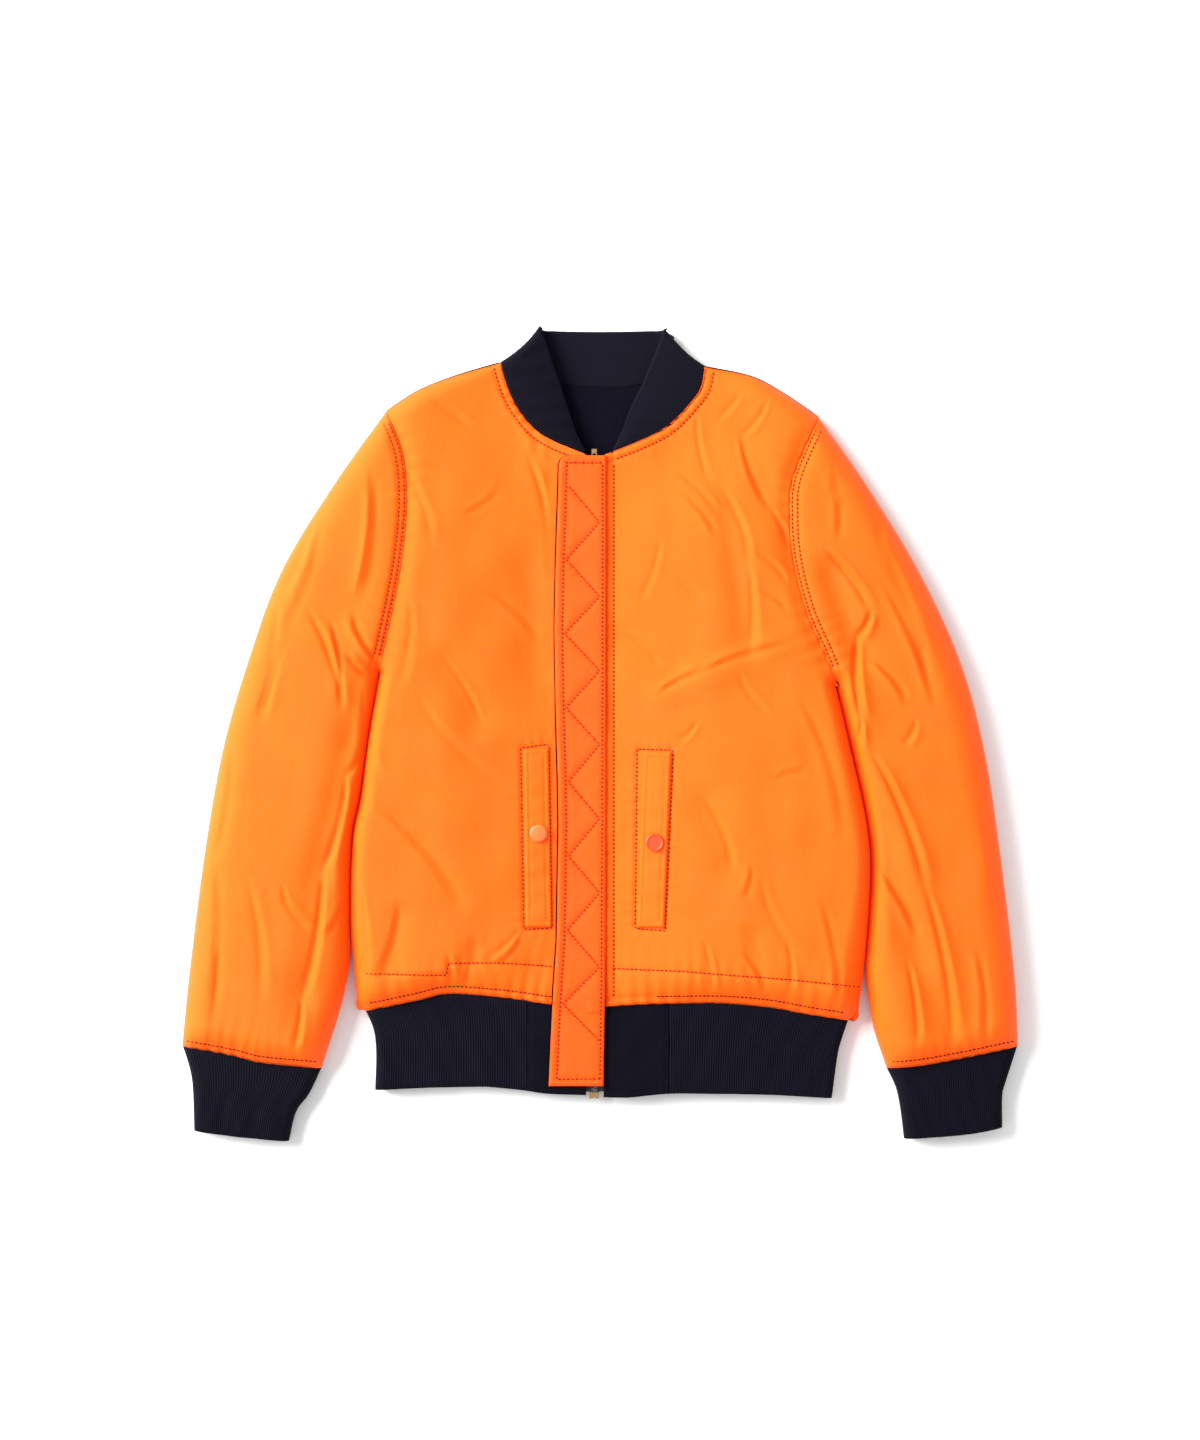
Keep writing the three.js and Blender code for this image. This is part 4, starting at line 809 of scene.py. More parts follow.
class Value:
    """A number socket of a shader, on which arithmetic adds Math nodes."""

    def __init__(self, shader, socket):
        self.shader, self.socket = shader, socket

    def math(self, operation, first, second):
        node = self.shader.node("ShaderNodeMath", {"operation": operation}, {0: first, 1: second})
        return Value(self.shader, node.outputs[0])

    def __add__(self, other):
        return self.math("ADD", self, other)

    def __mul__(self, other):
        return self.math("MULTIPLY", self, other)

    def __rsub__(self, other):
        return self.math("SUBTRACT", other, self)

    __radd__ = __add__
    __rmul__ = __mul__


class Finish:
    """A material in the making, with one method for its nodes."""

    def __init__(self, name):
        self.material = bpy.data.materials.new(name)
        self.material.use_nodes = True
        self.tree = self.material.node_tree
        self.tree.nodes.clear()
        self.place = self.node("ShaderNodeTexCoord", {}, {}).outputs["Object"]

    def node(self, kind, settings, inputs):
        made = self.tree.nodes.new(kind)
        for key, value in settings.items():
            setattr(made, key, value)
        for key, value in inputs.items():
            if isinstance(value, Value):
                value = value.socket
            if isinstance(value, bpy.types.NodeSocket):
                self.tree.links.new(value, made.inputs[key])
            else:
                made.inputs[key].default_value = value
        return made

    def noise(self, scale, detail=2.0, rough=0.5, place=None):
        inputs = {"Vector": place or self.place, "Scale": scale, "Detail": detail, "Roughness": rough}
        made = self.node("ShaderNodeTexNoise", {}, inputs)
        return Value(self, made.outputs["Fac"])

    def stretched(self, scale):
        made = self.node("ShaderNodeMapping", {}, {"Vector": self.place, "Scale": scale})
        return made.outputs["Vector"]

    def threads(self, pitch, direction, distortion=0.0):
        """Even ridges of thread across one direction, from 0 to 1."""
        scale = math.pi / (10 * pitch * MM)
        inputs = {"Vector": self.place, "Scale": scale, "Distortion": distortion, "Detail": 0.0}
        made = self.node("ShaderNodeTexWave", {"bands_direction": direction}, inputs)
        return Value(self, made.outputs["Fac"])

    def blend(self, share, first, second):
        made = self.node("ShaderNodeMix", {"data_type": "RGBA"}, {0: share, 6: first, 7: second})
        return made.outputs[2]

    def surface(self, colour, height, bump, fixed, **varying):
        """Joins colour, relief and the fixed values to the surface shader."""
        raised = self.node("ShaderNodeBump", {}, {"Height": height, "Distance": bump * MM, "Strength": 1.0})
        inputs = {"Base Color": colour, "Normal": raised.outputs["Normal"], **fixed}
        inputs.update({key.replace("_", " ").title(): value for key, value in varying.items()})
        shader = self.node("ShaderNodeBsdfPrincipled", {}, inputs)
        self.node("ShaderNodeOutputMaterial", {}, {"Surface": shader.outputs["BSDF"]})
        return self.material


def rgb(red, green, blue):
    """A colour given as the eye's 0 to 255, as the light values that a shader needs."""
    return tuple((c / 255) ** 2.2 for c in (red, green, blue)) + (1,)


# The pitches of the cloths' threads, and the sizes of the patterns on them, as noise scales.
WEAVE = {"pitch": 0.42, "along": 900, "across": 25, "cloudy": 14, "crinkle": 130}
YARN = {"pitch": 1.3, "wander": 1.5, "fuzz": 900, "cloudy": 20}
SCRATCHES = (300, 3000, 3000)
TARNISH = 350
TWIST = 1800

# A painted glow: the bright cloth gives off this colour faintly everywhere, which lifts its shaded creases
# and crevices as light coming through the cloth would.
PAINTED_GLOW = (1, 0.09, 0.008, 1)


def nylon(name, light, deep, sheen, rough, shine=0.13, painted_glow=0.0):
    """Smooth plain-weave nylon: fine crossing threads, faint streaks along them, a soft shine, and where
    asked a faint painted glow.
    """
    f = Finish(name)
    warp = f.threads(WEAVE["pitch"], "X")
    weft = f.threads(WEAVE["pitch"], "Y")
    along, across = WEAVE["along"], WEAVE["across"]
    warp_streaks = f.noise(1, 3, 0.6, f.stretched((along, across, across)))
    weft_streaks = f.noise(1, 3, 0.6, f.stretched((across, along, across)))
    streaks = warp_streaks * 0.5 + weft_streaks * 0.5
    cloudy = f.noise(WEAVE["cloudy"], 4)
    crinkle = f.noise(WEAVE["crinkle"], 3, 0.55)
    colour = f.blend(streaks * 0.35 + cloudy * 0.65, deep, light)
    height = (warp + weft) * 0.12 + crinkle * 0.8 + streaks * 0.15
    fixed = {"Sheen Weight": sheen, "Sheen Roughness": 0.4, "Specular IOR Level": shine}
    fixed.update({"Emission Color": PAINTED_GLOW, "Emission Strength": painted_glow})
    return f.surface(colour, height, 0.55, fixed, roughness=cloudy * 0.12 + rough)


def knit(name, light, deep):
    """Rib knit: soft hairy yarn, with the rows of its loops across the ridges."""
    f = Finish(name)
    loops = f.threads(YARN["pitch"], "Y", YARN["wander"])
    fuzz = f.noise(YARN["fuzz"], 3, 0.7)
    cloudy = f.noise(YARN["cloudy"], 3)
    colour = f.blend(loops * 0.3 + fuzz * 0.4 + cloudy * 0.3, deep, light)
    fixed = {"Sheen Weight": 0.02, "Sheen Roughness": 0.6, "Specular IOR Level": 0.08}
    return f.surface(colour, loops * 0.5 + fuzz * 0.5, 0.35, fixed, roughness=fuzz * 0.15 + 0.75)


def metal(name, light, deep, metallic, rough):
    """Aged metal: cloudy tarnish that is rougher where it is darker, with fine scratches."""
    f = Finish(name)
    tarnish = f.noise(TARNISH, 4, 0.6)
    scratches = f.noise(1, 2, 0.5, f.stretched(SCRATCHES))
    colour = f.blend(tarnish, deep, light)
    height = tarnish * 0.6 + scratches * 0.4
    return f.surface(colour, height, 0.08, {"Metallic": metallic}, roughness=rough + (1 - tarnish) * 0.3)


def thread(name, light, deep):
    """Twisted sewing thread."""
    f = Finish(name)
    twist = f.noise(TWIST, 2)
    colour = f.blend(twist, deep, light)
    return f.surface(colour, twist, 0.1, {"Specular IOR Level": 0.1}, roughness=twist * 0.1 + 0.5)


# The two bright nylons glow faintly: a painted glow that lifts their shade in creases and crevices.
ORANGE = nylon("orange_nylon", rgb(255, 94, 10), rgb(255, 83, 5), 0.03, 0.42, painted_glow=0.07)
FLAP_ORANGE = nylon("flap_nylon", rgb(255, 80, 8), rgb(255, 70, 4), 0.02, 0.46, painted_glow=0.07)
LINING = nylon("navy_nylon", rgb(13, 11, 24), rgb(9, 8, 19), 0.0, 0.55, 0.04)
TAB_CLOTH = nylon("navy_tab_cloth", rgb(15, 14, 23), rgb(11, 10, 17), 0.0, 0.55, 0.04)
RIB = knit("navy_rib_knit", rgb(13, 11, 27), rgb(6, 5, 14))
TAPE = knit("zip_tape", rgb(70, 70, 84), rgb(48, 48, 60))
BRASS = metal("aged_brass", rgb(176, 146, 98), rgb(96, 76, 48), 0.9, 0.3)
# The right snap's orange enamel, made lighter and pinker than the left one's by a painted reflection of the
# light.
SNAP_ENAMEL_WITH_PAINTED_SHEEN = metal("snap_enamel_painted_sheen", rgb(236, 98, 44), rgb(228, 86, 34), 0.0, 0.3)
SNAP_RING = metal("snap_ring", rgb(222, 66, 16), rgb(206, 54, 10), 0.0, 0.3)
RUST_THREAD = thread("rust_thread", rgb(120, 20, 8), rgb(84, 12, 8))
NAVY_THREAD = thread("navy_thread", rgb(74, 18, 16), rgb(46, 12, 18))
ORANGE_THREAD = thread("orange_thread", rgb(158, 32, 6), rgb(126, 22, 5))


def keep(obj, node):
    if node:
        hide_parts(node)
    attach(obj, "root")


# The steps of each piece's grid: the length over it, their pitch, and how far they close up at a fold.
STEPS = {
    "front": (205, 1.6, 14), "front_rows": (560, 2.3, 12), "back": (400, 4, 13), "back_rows": (560, 4, 12),
    "sleeve_over": (135, 1.7, 20), "sleeve_under": (135, 4.5, 13), "waist_under": (405, 4, 13),
}
SLEEVE_ROWS = 200
CUFF_ROWS = 14
COLLAR_ROWS = 16
RIB_LENGTHS = {"cuff": 100, "waist_right": 132, "waist_left": 150, "collar": 112, "collar_back": 180}
# The front's outer edge is felt only near itself, so that the columns beside the zip stay straight.
FRONT_BULGE = 3


def make_front(side):
    top = chain(neckline[side].at, shoulder[side].at, NECK_SHARE)
    outer = chain(body_side[side].at, armhole[side].at, SIDE_SHARE)
    centre = straight((FRONT_EDGE[side], hem[side].at(0)[1]), (FRONT_EDGE[side], neckline[side].at(0)[1]))
    plan = patch(hem[side].at, top, centre, outer, bulge=FRONT_BULGE)
    rows = fold_steps(*STEPS["front_rows"], start=False)
    cloth = Cloth(f"padded_front_{side}", rows, body_folds, front_plain, front_fine)
    cloth.add(plan, "over", fold_steps(*STEPS["front"], start=False))
    obj = cloth.finish(PADDED, ORANGE, LINING)
    keep(obj, f"front_{side}")


# Where the back's neck begins and ends along its top edge, and how far from the middle the lining covers it.
BACK_NECK_SHARE = (0.3, 0.7)
LINED_NECK = 0.22


def make_back():
    def top(t):
        t = np.asarray(t)
        begun, ended = BACK_NECK_SHARE
        first = shoulder["right"].back(t / begun)
        last = shoulder["left"].at((t - ended) / begun)
        middle = Line(BACK_NECK).at((t - begun) / (ended - begun))
        t = t[..., None]
        return np.where(t < begun, first, np.where(t > ended, last, middle))

    outer = {s: chain(body_side[s].at, armhole[s].at, SIDE_SHARE) for s in SIDES}
    plan = patch(Line(BACK_HEM).at, top, outer["right"], outer["left"])
    rows = fold_steps(*STEPS["back_rows"], start=False)
    cloth = Cloth("padded_back", rows, body_folds, front_plain)
    cloth.add(plan, "under", fold_steps(*STEPS["back"]))
    keep(cloth.finish(PADDED, ORANGE, LINING, lined_neck=LINED_NECK), "back")


def returning(steps):
    """The steps of a tube's underside, which goes back between the columns that its upper side ends with."""
    return steps[1:-1][::-1]


def make_sleeve(side):
    def crowded(b):
        return sleeve_inner[side].at(np.asarray(b) ** UNDERARM_CROWD)

    plan = patch(armhole[side].back, cuff_seam[side].at, sleeve_outer[side].at, crowded)
    cloth = Cloth(f"padded_sleeve_{side}", even(SLEEVE_ROWS), sleeve_folds[side], sleeve_plain, sleeve_fine)
    cloth.add(plan, "over", fold_steps(*STEPS["sleeve_over"]))
    cloth.add(plan, "under", returning(fold_steps(*STEPS["sleeve_under"])))
    obj = cloth.finish(PADDED, ORANGE, LINING, tube=True)
    keep(obj, f"sleeve_{side}")


# Ribs that lie underneath are pressed flatter.
CUFF_UNDER_RIB = 0.3
COLLAR_UNDER_RIB = 0.35
RIB_UNEVEN = {"share": 0.15, "rows": 9, "columns": 40}


def ribbed(length, depth=RIB_DEPTH):
    """The relief of rib knit over a length: ridges of slightly uneven depth."""
    turns = 2 * math.pi * ridges(length)

    def relief(a, b):
        uneven = 1 - RIB_UNEVEN["share"] * np.sin(b * RIB_UNEVEN["rows"] + a * RIB_UNEVEN["columns"])
        return -depth * (0.5 + 0.5 * np.cos(a * turns)) * uneven
    return relief


# How the ribs' height wavers near their free ends: height, pitch, seed, where it begins, over what it grows.
CUFF_WAVER = (0.5, 23, 3, -300, 30)
WAIST_WAVER = (0.6, 41, 5, -250, 40)


def waver(points, height, pitch, seed, begun, over):
    return height * uneven_wave(points[:, 0], pitch, seed) * smooth((begun - points[:, 1]) / over)


def cuff_top(points):
    return CUFF_TOP + waver(points, *CUFF_WAVER)


def waist_top(points):
    return WAIST_TOP + waver(points, *WAIST_WAVER)


def make_cuff(side):
    plan = patch(cuff_seam[side].at, cuff_end[side].at, cuff_outer[side].at, cuff_inner[side].at)
    cloth = Cloth(f"rib_cuff_{side}", even(CUFF_ROWS), sleeve_folds[side], cuff_top)
    length = RIB_LENGTHS["cuff"]
    cloth.add(plan, "over", rib_steps(length), ribbed(length))
    cloth.add(plan, "under", returning(rib_steps(length)), ribbed(length, CUFF_UNDER_RIB))
    keep(cloth.finish(KNIT, RIB, RIB, tube=True), f"cuff_{side}")


# The waistband's ends at its sides; an end further out than the reach follows the rib's own side.
WAIST_END = {"right": -202, "left": 214}
WAIST_SIDE_REACH = 150
TAB_START = {"right": -12, "left": 3}


def waist_front(side, start, end):
    near = part_of(hem[side].at, hem[side].share(start), hem[side].share(end))
    far = part_of(rib_end[side].at, rib_end[side].share(start), rib_end[side].share(end))
    edge = rib_side[side].at if abs(end) > WAIST_SIDE_REACH else straight(near(1.0), far(1.0))
    return patch(near, far, straight(near(0.0), far(0.0)), edge)


def make_waist_rib():
    cloth = Cloth("rib_waistband", even(CUFF_ROWS), body_folds, waist_top)
    under = patch(Line(BACK_HEM).at, Line(BACK_RIB_END).at, rib_side["right"].at, rib_side["left"].at)
    right, left = (waist_front(side, TAB_END[side], WAIST_END[side]) for side in SIDES)
    right_length, left_length = (RIB_LENGTHS[f"waist_{side}"] for side in SIDES)
    cloth.add(right, "over", rib_steps(right_length), ribbed(right_length))
    cloth.add(under, "under", fold_steps(*STEPS["waist_under"])[1:-1])
    cloth.add(left, "over", rib_steps(left_length)[::-1], ribbed(left_length))
    keep(cloth.finish(KNIT, RIB, RIB), "waist_rib")


# A tab's width and height, its grid, and the rows of stitches inside its edges.
TAB_SIZE = (52.0, 78)
TAB_GRID = (36, 40)
TAB_STITCH = {"side": 3, "end": 4, "depth": 0.5, "width": 1.2}


def make_waist_tab(side):
    def stitched(a, b):
        edges = np.minimum(a, 1 - a) * TAB_SIZE[0]
        ends = np.minimum(b, 1 - b) * TAB_SIZE[1]
        depth, width = TAB_STITCH["depth"], TAB_STITCH["width"]
        rows = bell((edges - TAB_STITCH["side"]) / width) + bell((ends - TAB_STITCH["end"]) / width)
        ease = 0.35 * np.sin(b * 11 + a * 3) * np.sin(a * 7 + 1)
        return ease - depth * rows - rounded(edges) * ROUND["tab"]

    plan = waist_front(side, TAB_START[side], TAB_END[side])
    cloth = Cloth(f"waistband_tab_{side}", even(TAB_GRID[1]), body_folds, waist_top)
    cloth.add(plan, "over", even(TAB_GRID[0]), stitched)
    keep(cloth.finish(TAB, TAB_CLOTH, LINING), f"waist_tab_{side}")


# The collar lies a little lower than the neck at its seam, and swells between its edges.
COLLAR_SINK = 0.6
COLLAR_SWELL = 1.1
COLLAR_GAP = 0.03


def collar_height(points, b):
    return mix(NECK_TOP - COLLAR_SINK, COLLAR_EDGE_TOP, b) + COLLAR_SWELL * np.sin(b * math.pi)


def make_collar():
    cloth = Cloth("rib_collar", even(COLLAR_ROWS), collar_folds, collar_height)
    plans = {}
    for side in SIDES:
        seam = part_of(neckline[side].at, COLLAR_GAP, 1)
        free = collar_free[side].at
        plans[side] = patch(seam, free, straight(seam(0.0), free(0.0)), collar_fold[side].at)
    under = patch(Line(BACK_NECK).at, Line(COLLAR_TOP).at, collar_fold["right"].at, collar_fold["left"].at)
    end, back = RIB_LENGTHS["collar"], RIB_LENGTHS["collar_back"]
    cloth.add(plans["right"], "over", rib_steps(end)[:-1], ribbed(end))
    cloth.add(under, "under", rib_steps(back), ribbed(back, COLLAR_UNDER_RIB))
    cloth.add(plans["left"], "over", rib_steps(end)[:-1][::-1], ribbed(end))
    keep(cloth.finish(KNIT, RIB, RIB), "collar")


FLAP_LOW, FLAP_HIGH = FLAP_SECTIONS[0]["y"], FLAP_SECTIONS[-1]["y"]


def flap_edge(column, y):
    return np.interp(y, [s["y"] for s in FLAP_SECTIONS], [s[column] for s in FLAP_SECTIONS])


# The flap's rows of stitches: how far from its long edges they lie, where they begin and end, their points.
FLAP_ROWS = {"outer": 6.5, "inner": 3.2, "high": FLAP_HIGH - 7, "low": FLAP_LOW + 6, "points": 40}
FLAP_END_ROWS = [
    [(-31, FLAP_HIGH - 6.5), (2, FLAP_HIGH - 6.5)],
    [(-37, FLAP_LOW + 6), (0, FLAP_LOW + 6.5)],
]
# How far the zigzag's outer turns are moved in from the flap's edge, and what it leaves free at the end.
ZIGZAG_INSET = 38
ZIGZAG_END = 8


def zigzag_points():
    """The turns of the flap's zigzag, from the top."""
    made = []
    for i in range(2 * ZIGZAG["turns"] + 1):
        y = ZIGZAG["first"] - i * ZIGZAG["period"] / 2
        if y < FLAP_LOW + ZIGZAG_END:
            break
        side = "outer" if i % 2 == 0 else "inner"
        shift = flap_edge("outer", y) + ZIGZAG_INSET if side == "outer" else 0
        made.append((ZIGZAG[side] + shift, y))
    return made


def beside_edge(column, inset):
    """A row of stitches along one of the flap's long edges."""
    ys = np.linspace(FLAP_ROWS["high"], FLAP_ROWS["low"], FLAP_ROWS["points"])
    return Line([(flap_edge(column, y) + inset, y) for y in ys], straight=True)


zigzag = Line(zigzag_points(), straight=True)
flap_rows = [beside_edge("outer", FLAP_ROWS["outer"]), beside_edge("inner", -FLAP_ROWS["inner"])]
flap_rows += [Line(row, straight=True) for row in FLAP_END_ROWS]
# How far the flap bridges the hollows under it, across and along.
BRIDGE = (4, 6)


def bridged(points):
    """The tops under the flap, smoothed over its length, as the stiff flap bridges them."""
    across, along = BRIDGE
    spots = [(dx, dy) for dx in (-across, 0, across) for dy in (-along, 0, along)]
    return np.max([middle_top(points + spot) for spot in spots], axis=0)


CORNER_STEP = 2.0


def dense(line):
    """A straight-sided line with short stretches, so that its corners are kept."""
    steps = np.arange(0, line.length, CORNER_STEP) / line.length
    return Line(line.at(np.append(steps, 1)), straight=True)


flap_seams = Stretches([zigzag, *flap_rows], cornered=True)
FLAP_LIFT = 0.6
FLAP_RIPPLE = {"height": 0.28, "pitch": 6.5, "seed": 2, "reach": 4}
FLAP_SWELL = 0.3


def flap_plain(points):
    return bridged(points) + FLAP_LIFT + FLAP


def flap_fine(points):
    distance, run, _, _ = flap_seams.measure(points)
    x, y = points.T
    puff = FLAP_PUFF * (1 - bell(distance / FLAP_PUFF_WIDTH))
    puff -= FLAP_GROOVE * bell(distance / FLAP_GROOVE_WIDTH)
    edge = np.minimum(x - flap_edge("outer", y), flap_edge("inner", y) - x)
    ends = np.minimum(y - FLAP_LOW, FLAP_HIGH - y)
    wave = FLAP_RIPPLE["height"] * uneven_wave(run, FLAP_RIPPLE["pitch"], FLAP_RIPPLE["seed"])
    ripple = wave * np.exp(-distance / FLAP_RIPPLE["reach"]) + FLAP_SWELL * swell(points)
    return puff + ripple - rounded(np.maximum(np.minimum(edge, ends), 0)) * ROUND["flap"]


def flap_top(points):
    return flap_plain(points) + flap_fine(points)


FLAP_GRID = (36, 330)
FLAP_LINING = 1.2


def make_flap():
    def plan(a, b):
        y = mix(FLAP_LOW, FLAP_HIGH, b)
        return np.stack([mix(flap_edge("outer", y), flap_edge("inner", y), a), y], -1)

    cloth = Cloth("quilted_zip_flap", even(FLAP_GRID[1]), body_folds, flap_plain, flap_fine)
    cloth.add(plan, "over", even(FLAP_GRID[0]))
    obj = cloth.finish(FLAP, FLAP_ORANGE, LINING, lining_edge=FLAP_LINING)
    keep(obj, "zip_flap")


# A welt's width and length, its grid, its stitches' place and its waver: height, pitch and seed.
WELT_SIZE = (24, 150)
WELT_GRID = (22, 110)
WELT_STITCH = 4.5
WELT_WAVER = (0.35, 19, 4)
WELT_LIFT = 0.3


def welt_plan(w):
    near = straight((w["end_outer"], w["end_y"]), (w["end_inner"], w["end_y"]))
    far = straight((w["top_outer"], w["top_y"]), (w["top_inner"], w["top_y"]))
    return patch(near, far, straight(near(0.0), far(0.0)), straight(near(1.0), far(1.0)))


def smoothed(function, points, reach=3.0):
    spots = [(0, 0), (reach, 0), (-reach, 0), (0, reach), (0, -reach)]
    return np.mean([function(points + spot) for spot in spots], axis=0)


def welt_plain(points):
    return smoothed(front_top, points) + WELT + WELT_LIFT


def make_welt(w):
    def relief(a, b):
        across, along = WELT_SIZE
        edges = np.minimum(np.minimum(a, 1 - a) * across, np.minimum(b, 1 - b) * along)
        height, pitch, seed = WELT_WAVER
        ease = height * uneven_wave(b * along, pitch, seed) * np.sin(a * math.pi)
        return ease - rounded(edges) * ROUND["welt"] - groove(edges - WELT_STITCH, WELT_GROOVE)

    cloth = Cloth(f"pocket_welt_cloth_{w['name']}", even(WELT_GRID[1]), body_folds, welt_plain)
    cloth.add(welt_plan(w), "over", even(WELT_GRID[0]), relief)
    obj = cloth.finish(WELT, ORANGE, ORANGE)
    keep(obj, f"pocket_welt_{w['name']}")


# Half of each snap cap's section: radius and height.
SNAP_PROFILE = {
    "right": [(0, 0.4), (6.9, 0.4), (7.6, 1.0), (7.5, 1.7), (6.9, 2.2), (5.6, 2.5), (3, 2.8), (0, 2.9)],
    "left": [(0, 0.4), (6.9, 0.4), (7.6, 1.0), (7.5, 1.9), (6.8, 2.4), (6.2, 2.2), (5.7, 1.6), (3, 1.7),
             (0, 1.8)],
}
SOFTENING = 0.15
SNAP_FINISH = {"right": SNAP_ENAMEL_WITH_PAINTED_SHEEN, "left": SNAP_RING}
SNAP_SIDES = 56
SNAP_MERGE = 1e-5


def soften(obj, name, segments):
    bevel = obj.modifiers.new(name, "BEVEL")
    bevel.width = SOFTENING * MM
    bevel.segments = segments


def make_snap(w):
    """A turned snap cap: a domed one on the right, one with a raised rim on the left."""
    name = w["name"]
    low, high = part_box(f"pocket_snap_{name}")
    bm = bmesh.new()
    spine = [bm.verts.new((r * MM, 0, h * MM)) for r, h in SNAP_PROFILE[name]]
    edges = [bm.edges.new(pair) for pair in zip(spine, spine[1:])]
    turn = {"axis": (0, 0, 1), "cent": (0, 0, 0), "angle": 2 * math.pi, "steps": SNAP_SIDES}
    bmesh.ops.spin(bm, geom=spine + edges, use_merge=True, **turn)
    bmesh.ops.remove_doubles(bm, verts=bm.verts, dist=SNAP_MERGE)
    bmesh.ops.recalc_face_normals(bm, faces=bm.faces)
    bmesh.ops.translate(bm, verts=bm.verts, vec=((low.x + high.x) / 2, (low.y + high.y) / 2, low.z))
    for face in bm.faces:
        face.smooth = True
    obj = mesh_object(f"snap_cap_{name}", bm, [SNAP_FINISH[name]])
    soften(obj, "Soft edges", 2)
    keep(obj, f"pocket_snap_{name}")


STITCH = {"length": 3.0, "gap": 0.6, "width": 1.35, "height": 0.8, "lift": 0.9, "start": 0.2}


def sew(name, rows, top, material):
    """Rows of stitches that follow the cloth: each a slim grain of thread along its line."""
    bm = bmesh.new()
    step = STITCH["length"] + STITCH["gap"]
    for row in rows:
        count = max(int(row.length / step), 1)
        starts = (np.arange(count) + STITCH["start"]) * row.length / count
        ends = starts + STITCH["length"]
        sides = [row.at(s / row.length) for s in (starts, ends)]
        first, last = (np.column_stack([p, top(p) + STITCH["lift"]]) for p in sides)
        for p, q in zip(first, last):
            along = Vector(q - p)
            turn = along.to_track_quat("X", "Z").to_matrix().to_4x4()
            size = Matrix.Diagonal((along.length / 2, STITCH["width"] / 2, STITCH["height"] / 2, 1))
            place = Matrix.Scale(MM, 4) @ Matrix.Translation(Vector((p + q) / 2)) @ turn @ size
            bmesh.ops.create_icosphere(bm, subdivisions=1, radius=1, matrix=place)
    keep(mesh_object(name, bm, [material]), None)


# The shares of the seams' lengths along which the rows of stitches run.
SEWN = {
    "neck": (0.04, 0.97), "hem_right": (0.15, 0.97), "hem_left": (0.2, 0.97), "cuff": (0.03, 0.97),
    "arm": (0.06, 0.95),
}
SEWN_POINTS = 160


def sewn(line, distance, shares):
    """The row of stitches beside a seam."""
    return Line(line.offset(distance).at(np.linspace(*shares, SEWN_POINTS)), straight=True)


def make_stitches():
    for side in SIDES:
        way = TURN[side]
        neck = sewn(neckline[side], -way * NECK_STITCH, SEWN["neck"])
        hems = sewn(hem[side], way * HEM_STITCH, SEWN[f"hem_{side}"])
        cuffs = sewn(cuff_seam[side], -way * CUFF_STITCH, SEWN["cuff"])
        arms = [sewn(armhole[side], -way * offset, SEWN["arm"]) for offset in ARM_STITCHES]
        sew(f"neck_stitches_{side}", [neck], front_top, RUST_THREAD)
        sew(f"hem_stitches_{side}", [hems], front_top, NAVY_THREAD)
        sew(f"cuff_stitches_{side}", [cuffs], sleeve_top, NAVY_THREAD)
        sew(f"armhole_stitches_{side}", arms, sleeve_top, RUST_THREAD)
    sew("hemline_stitches", map(dense, photo_lines(HEMLINES)), front_top, RUST_THREAD)
    sew("welt_stitches", map(dense, photo_lines(WELT_STITCHES)), front_top, RUST_THREAD)
    edge = upright(FRONT_EDGE["left"] + EDGE_STITCH, *EDGE_STITCH_ENDS)
    sew("front_edge_stitches", [edge], front_top, RUST_THREAD)
    sew("zigzag_stitches", [dense(zigzag)], flap_top, ORANGE_THREAD)
    sew("flap_stitches", flap_rows, flap_top, RUST_THREAD)


# A tooth's size, how far it stands from the zip's middle, and what the row leaves free at its two ends.
TOOTH = {"pitch": 1.5, "length": 2.6, "width": 0.8, "height": 1.1, "off": 0.8, "lift": 1.2}
TEETH_ENDS = {"all": 14, "low": 1}


def make_zip():
    """The zip's teeth, set by turns on its two tapes."""
    bm = bmesh.new()
    low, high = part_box("zip_tape_right")
    count = int((high.y - low.y - TEETH_ENDS["all"] * MM) / (TOOTH["pitch"] * MM))
    size = Matrix.Diagonal((TOOTH["length"], TOOTH["width"], TOOTH["height"], 1))
    for i in range(count):
        y = low.y / MM + TEETH_ENDS["low"] + i * TOOTH["pitch"]
        x = ZIP_X + (-TOOTH["off"] if i % 2 else TOOTH["off"])
        z = middle_top(np.array([[ZIP_X, y]]))[0] - PADDED + TOOTH["lift"]
        place = Matrix.Scale(MM, 4) @ Matrix.Translation((x, y, z)) @ size
        bmesh.ops.create_cube(bm, size=1, matrix=place)
    obj = mesh_object("zip_teeth", bm, [BRASS])
    soften(obj, "Worn edges", 1)
    keep(obj, None)
    for node in ("tape_right", "tape_left", "slider", "pull", "box"):
        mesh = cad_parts[f"zip_{node}"].data
        mesh.materials.clear()
        mesh.materials.append(TAPE if node.startswith("tape") else BRASS)


# The floor's half width and height, its paper's grain and two greys, and the sky's strength.
FLOOR = {"half": 6, "z": -0.0004, "grain": 300, "dark": 0.74, "light": 0.78}
WHITE = (1, 1, 1, 1)
SKY = 0.94
LAMPS = table("name spot size power", [
    ("key", (-2.7, 1.3, 1.75), 2.2, 425), ("fill", (1.6, -0.6, 2.6), 2.4, 10),
])
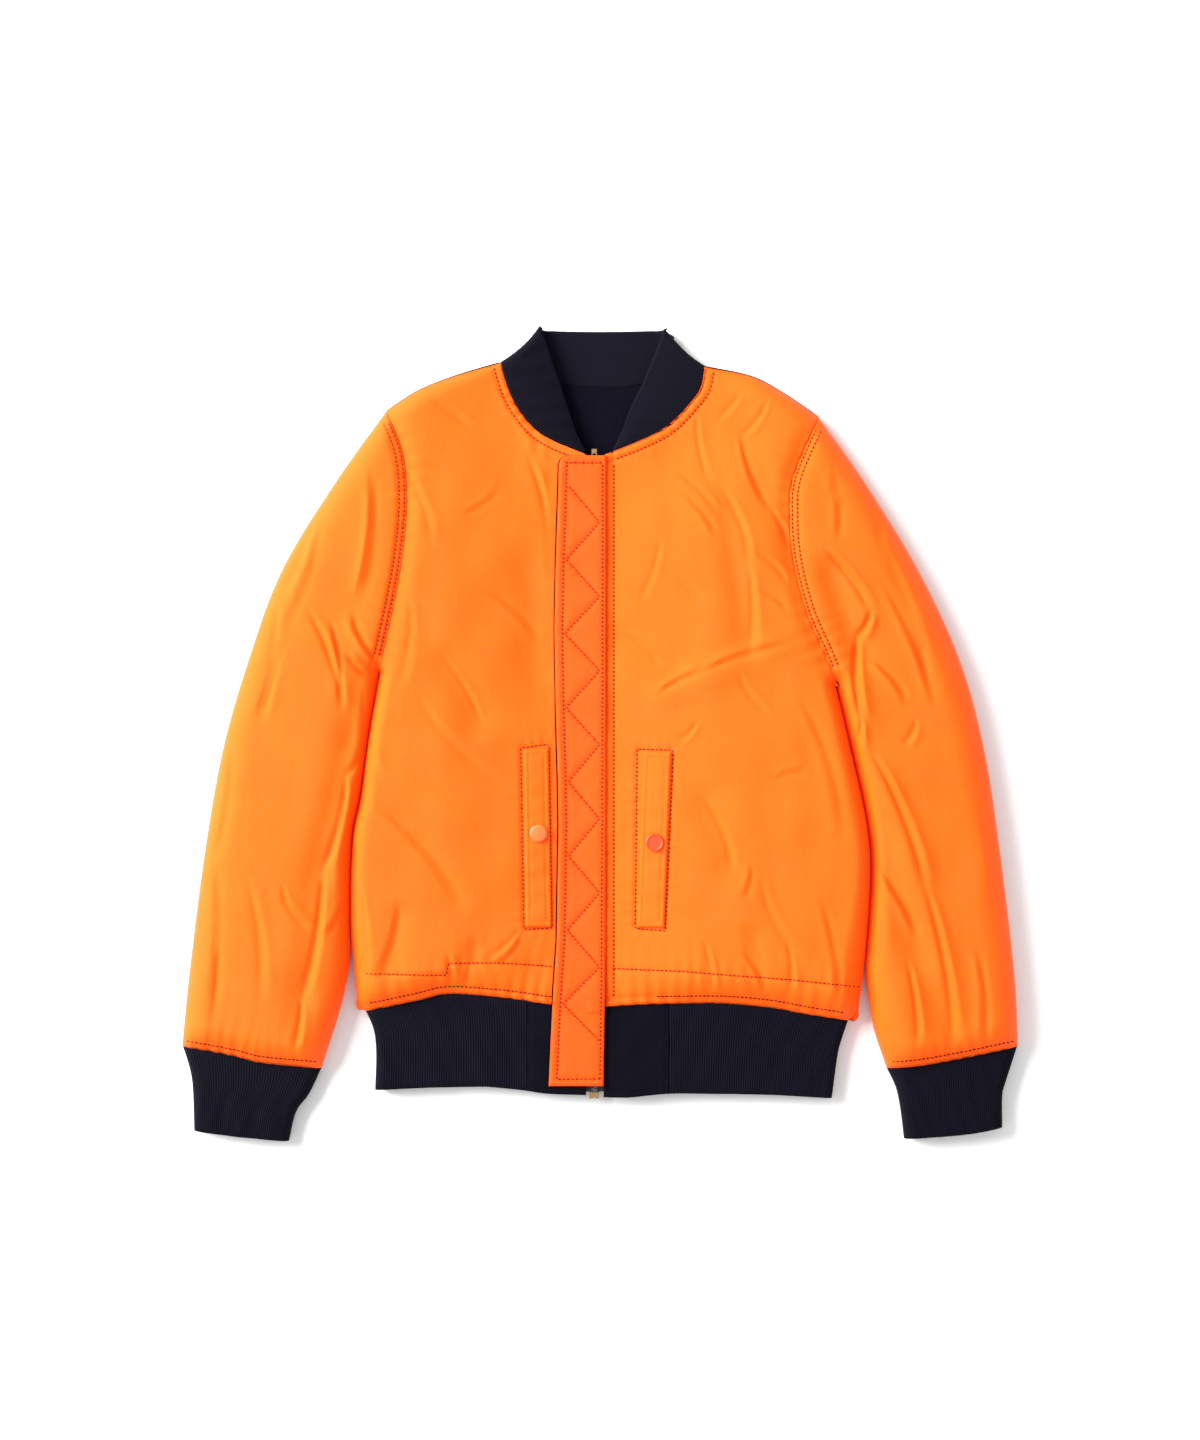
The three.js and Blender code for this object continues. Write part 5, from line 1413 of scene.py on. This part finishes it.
# The camera's height over the cloth's middle level, that level, and its sensor's height.
EYE = {"distance": 2.5, "level": 0.015, "sensor": 36}


def make_stage():
    """A pale floor, a soft sky, a strong light from the upper left, a faint one, and the camera above."""
    bm = bmesh.new()
    bmesh.ops.create_grid(bm, x_segments=1, y_segments=1, size=FLOOR["half"])
    bmesh.ops.translate(bm, verts=bm.verts, vec=(0, 0, FLOOR["z"]))
    paper = Finish("pale_paper")
    grain = paper.noise(FLOOR["grain"], 3)
    colour = paper.blend(grain, *((FLOOR[grey],) * 3 + (1,) for grey in ("dark", "light")))
    matte = paper.surface(colour, grain, 0.02, {"Specular IOR Level": 0.0}, roughness=grain * 0.1 + 0.8)
    floor = mesh_object("floor", bm, [matte])
    scene = bpy.context.scene
    scene.world = bpy.data.worlds.new("studio")
    scene.world.use_nodes = True
    sky = scene.world.node_tree.nodes["Background"].inputs
    sky["Color"].default_value = WHITE
    sky["Strength"].default_value = SKY
    for row in LAMPS:
        lamp = bpy.data.lights.new(row["name"], "AREA")
        lamp.size = row["size"]
        lamp.energy = row["power"]
        light = bpy.data.objects.new(row["name"], lamp)
        light.location = row["spot"]
        light.rotation_euler = (-Vector(row["spot"])).to_track_quat("-Z", "Y").to_euler()
        scene.collection.objects.link(light)
    scene.view_settings.view_transform = "Standard"
    camera = bpy.data.cameras.new("camera")
    camera.sensor_fit = "VERTICAL"
    camera.sensor_height = EYE["sensor"]
    camera.lens = camera.sensor_height * EYE["distance"] / (PHOTO_SIZE[1] * PHOTO_SCALE * MM)
    eye = bpy.data.objects.new("camera", camera)
    middle_y = on_jacket(0, PHOTO_SIZE[1] / 2)[1]
    eye.location = (0, middle_y * MM, EYE["distance"] + EYE["level"])
    scene.collection.objects.link(eye)
    scene.camera = eye


make_back()
for side in SIDES:
    make_front(side)
    make_sleeve(side)
    make_cuff(side)
    make_waist_tab(side)
make_waist_rib()
make_collar()
make_flap()
for welt in WELTS:
    make_welt(welt)
    make_snap(welt)
make_stitches()
make_zip()
make_stage()
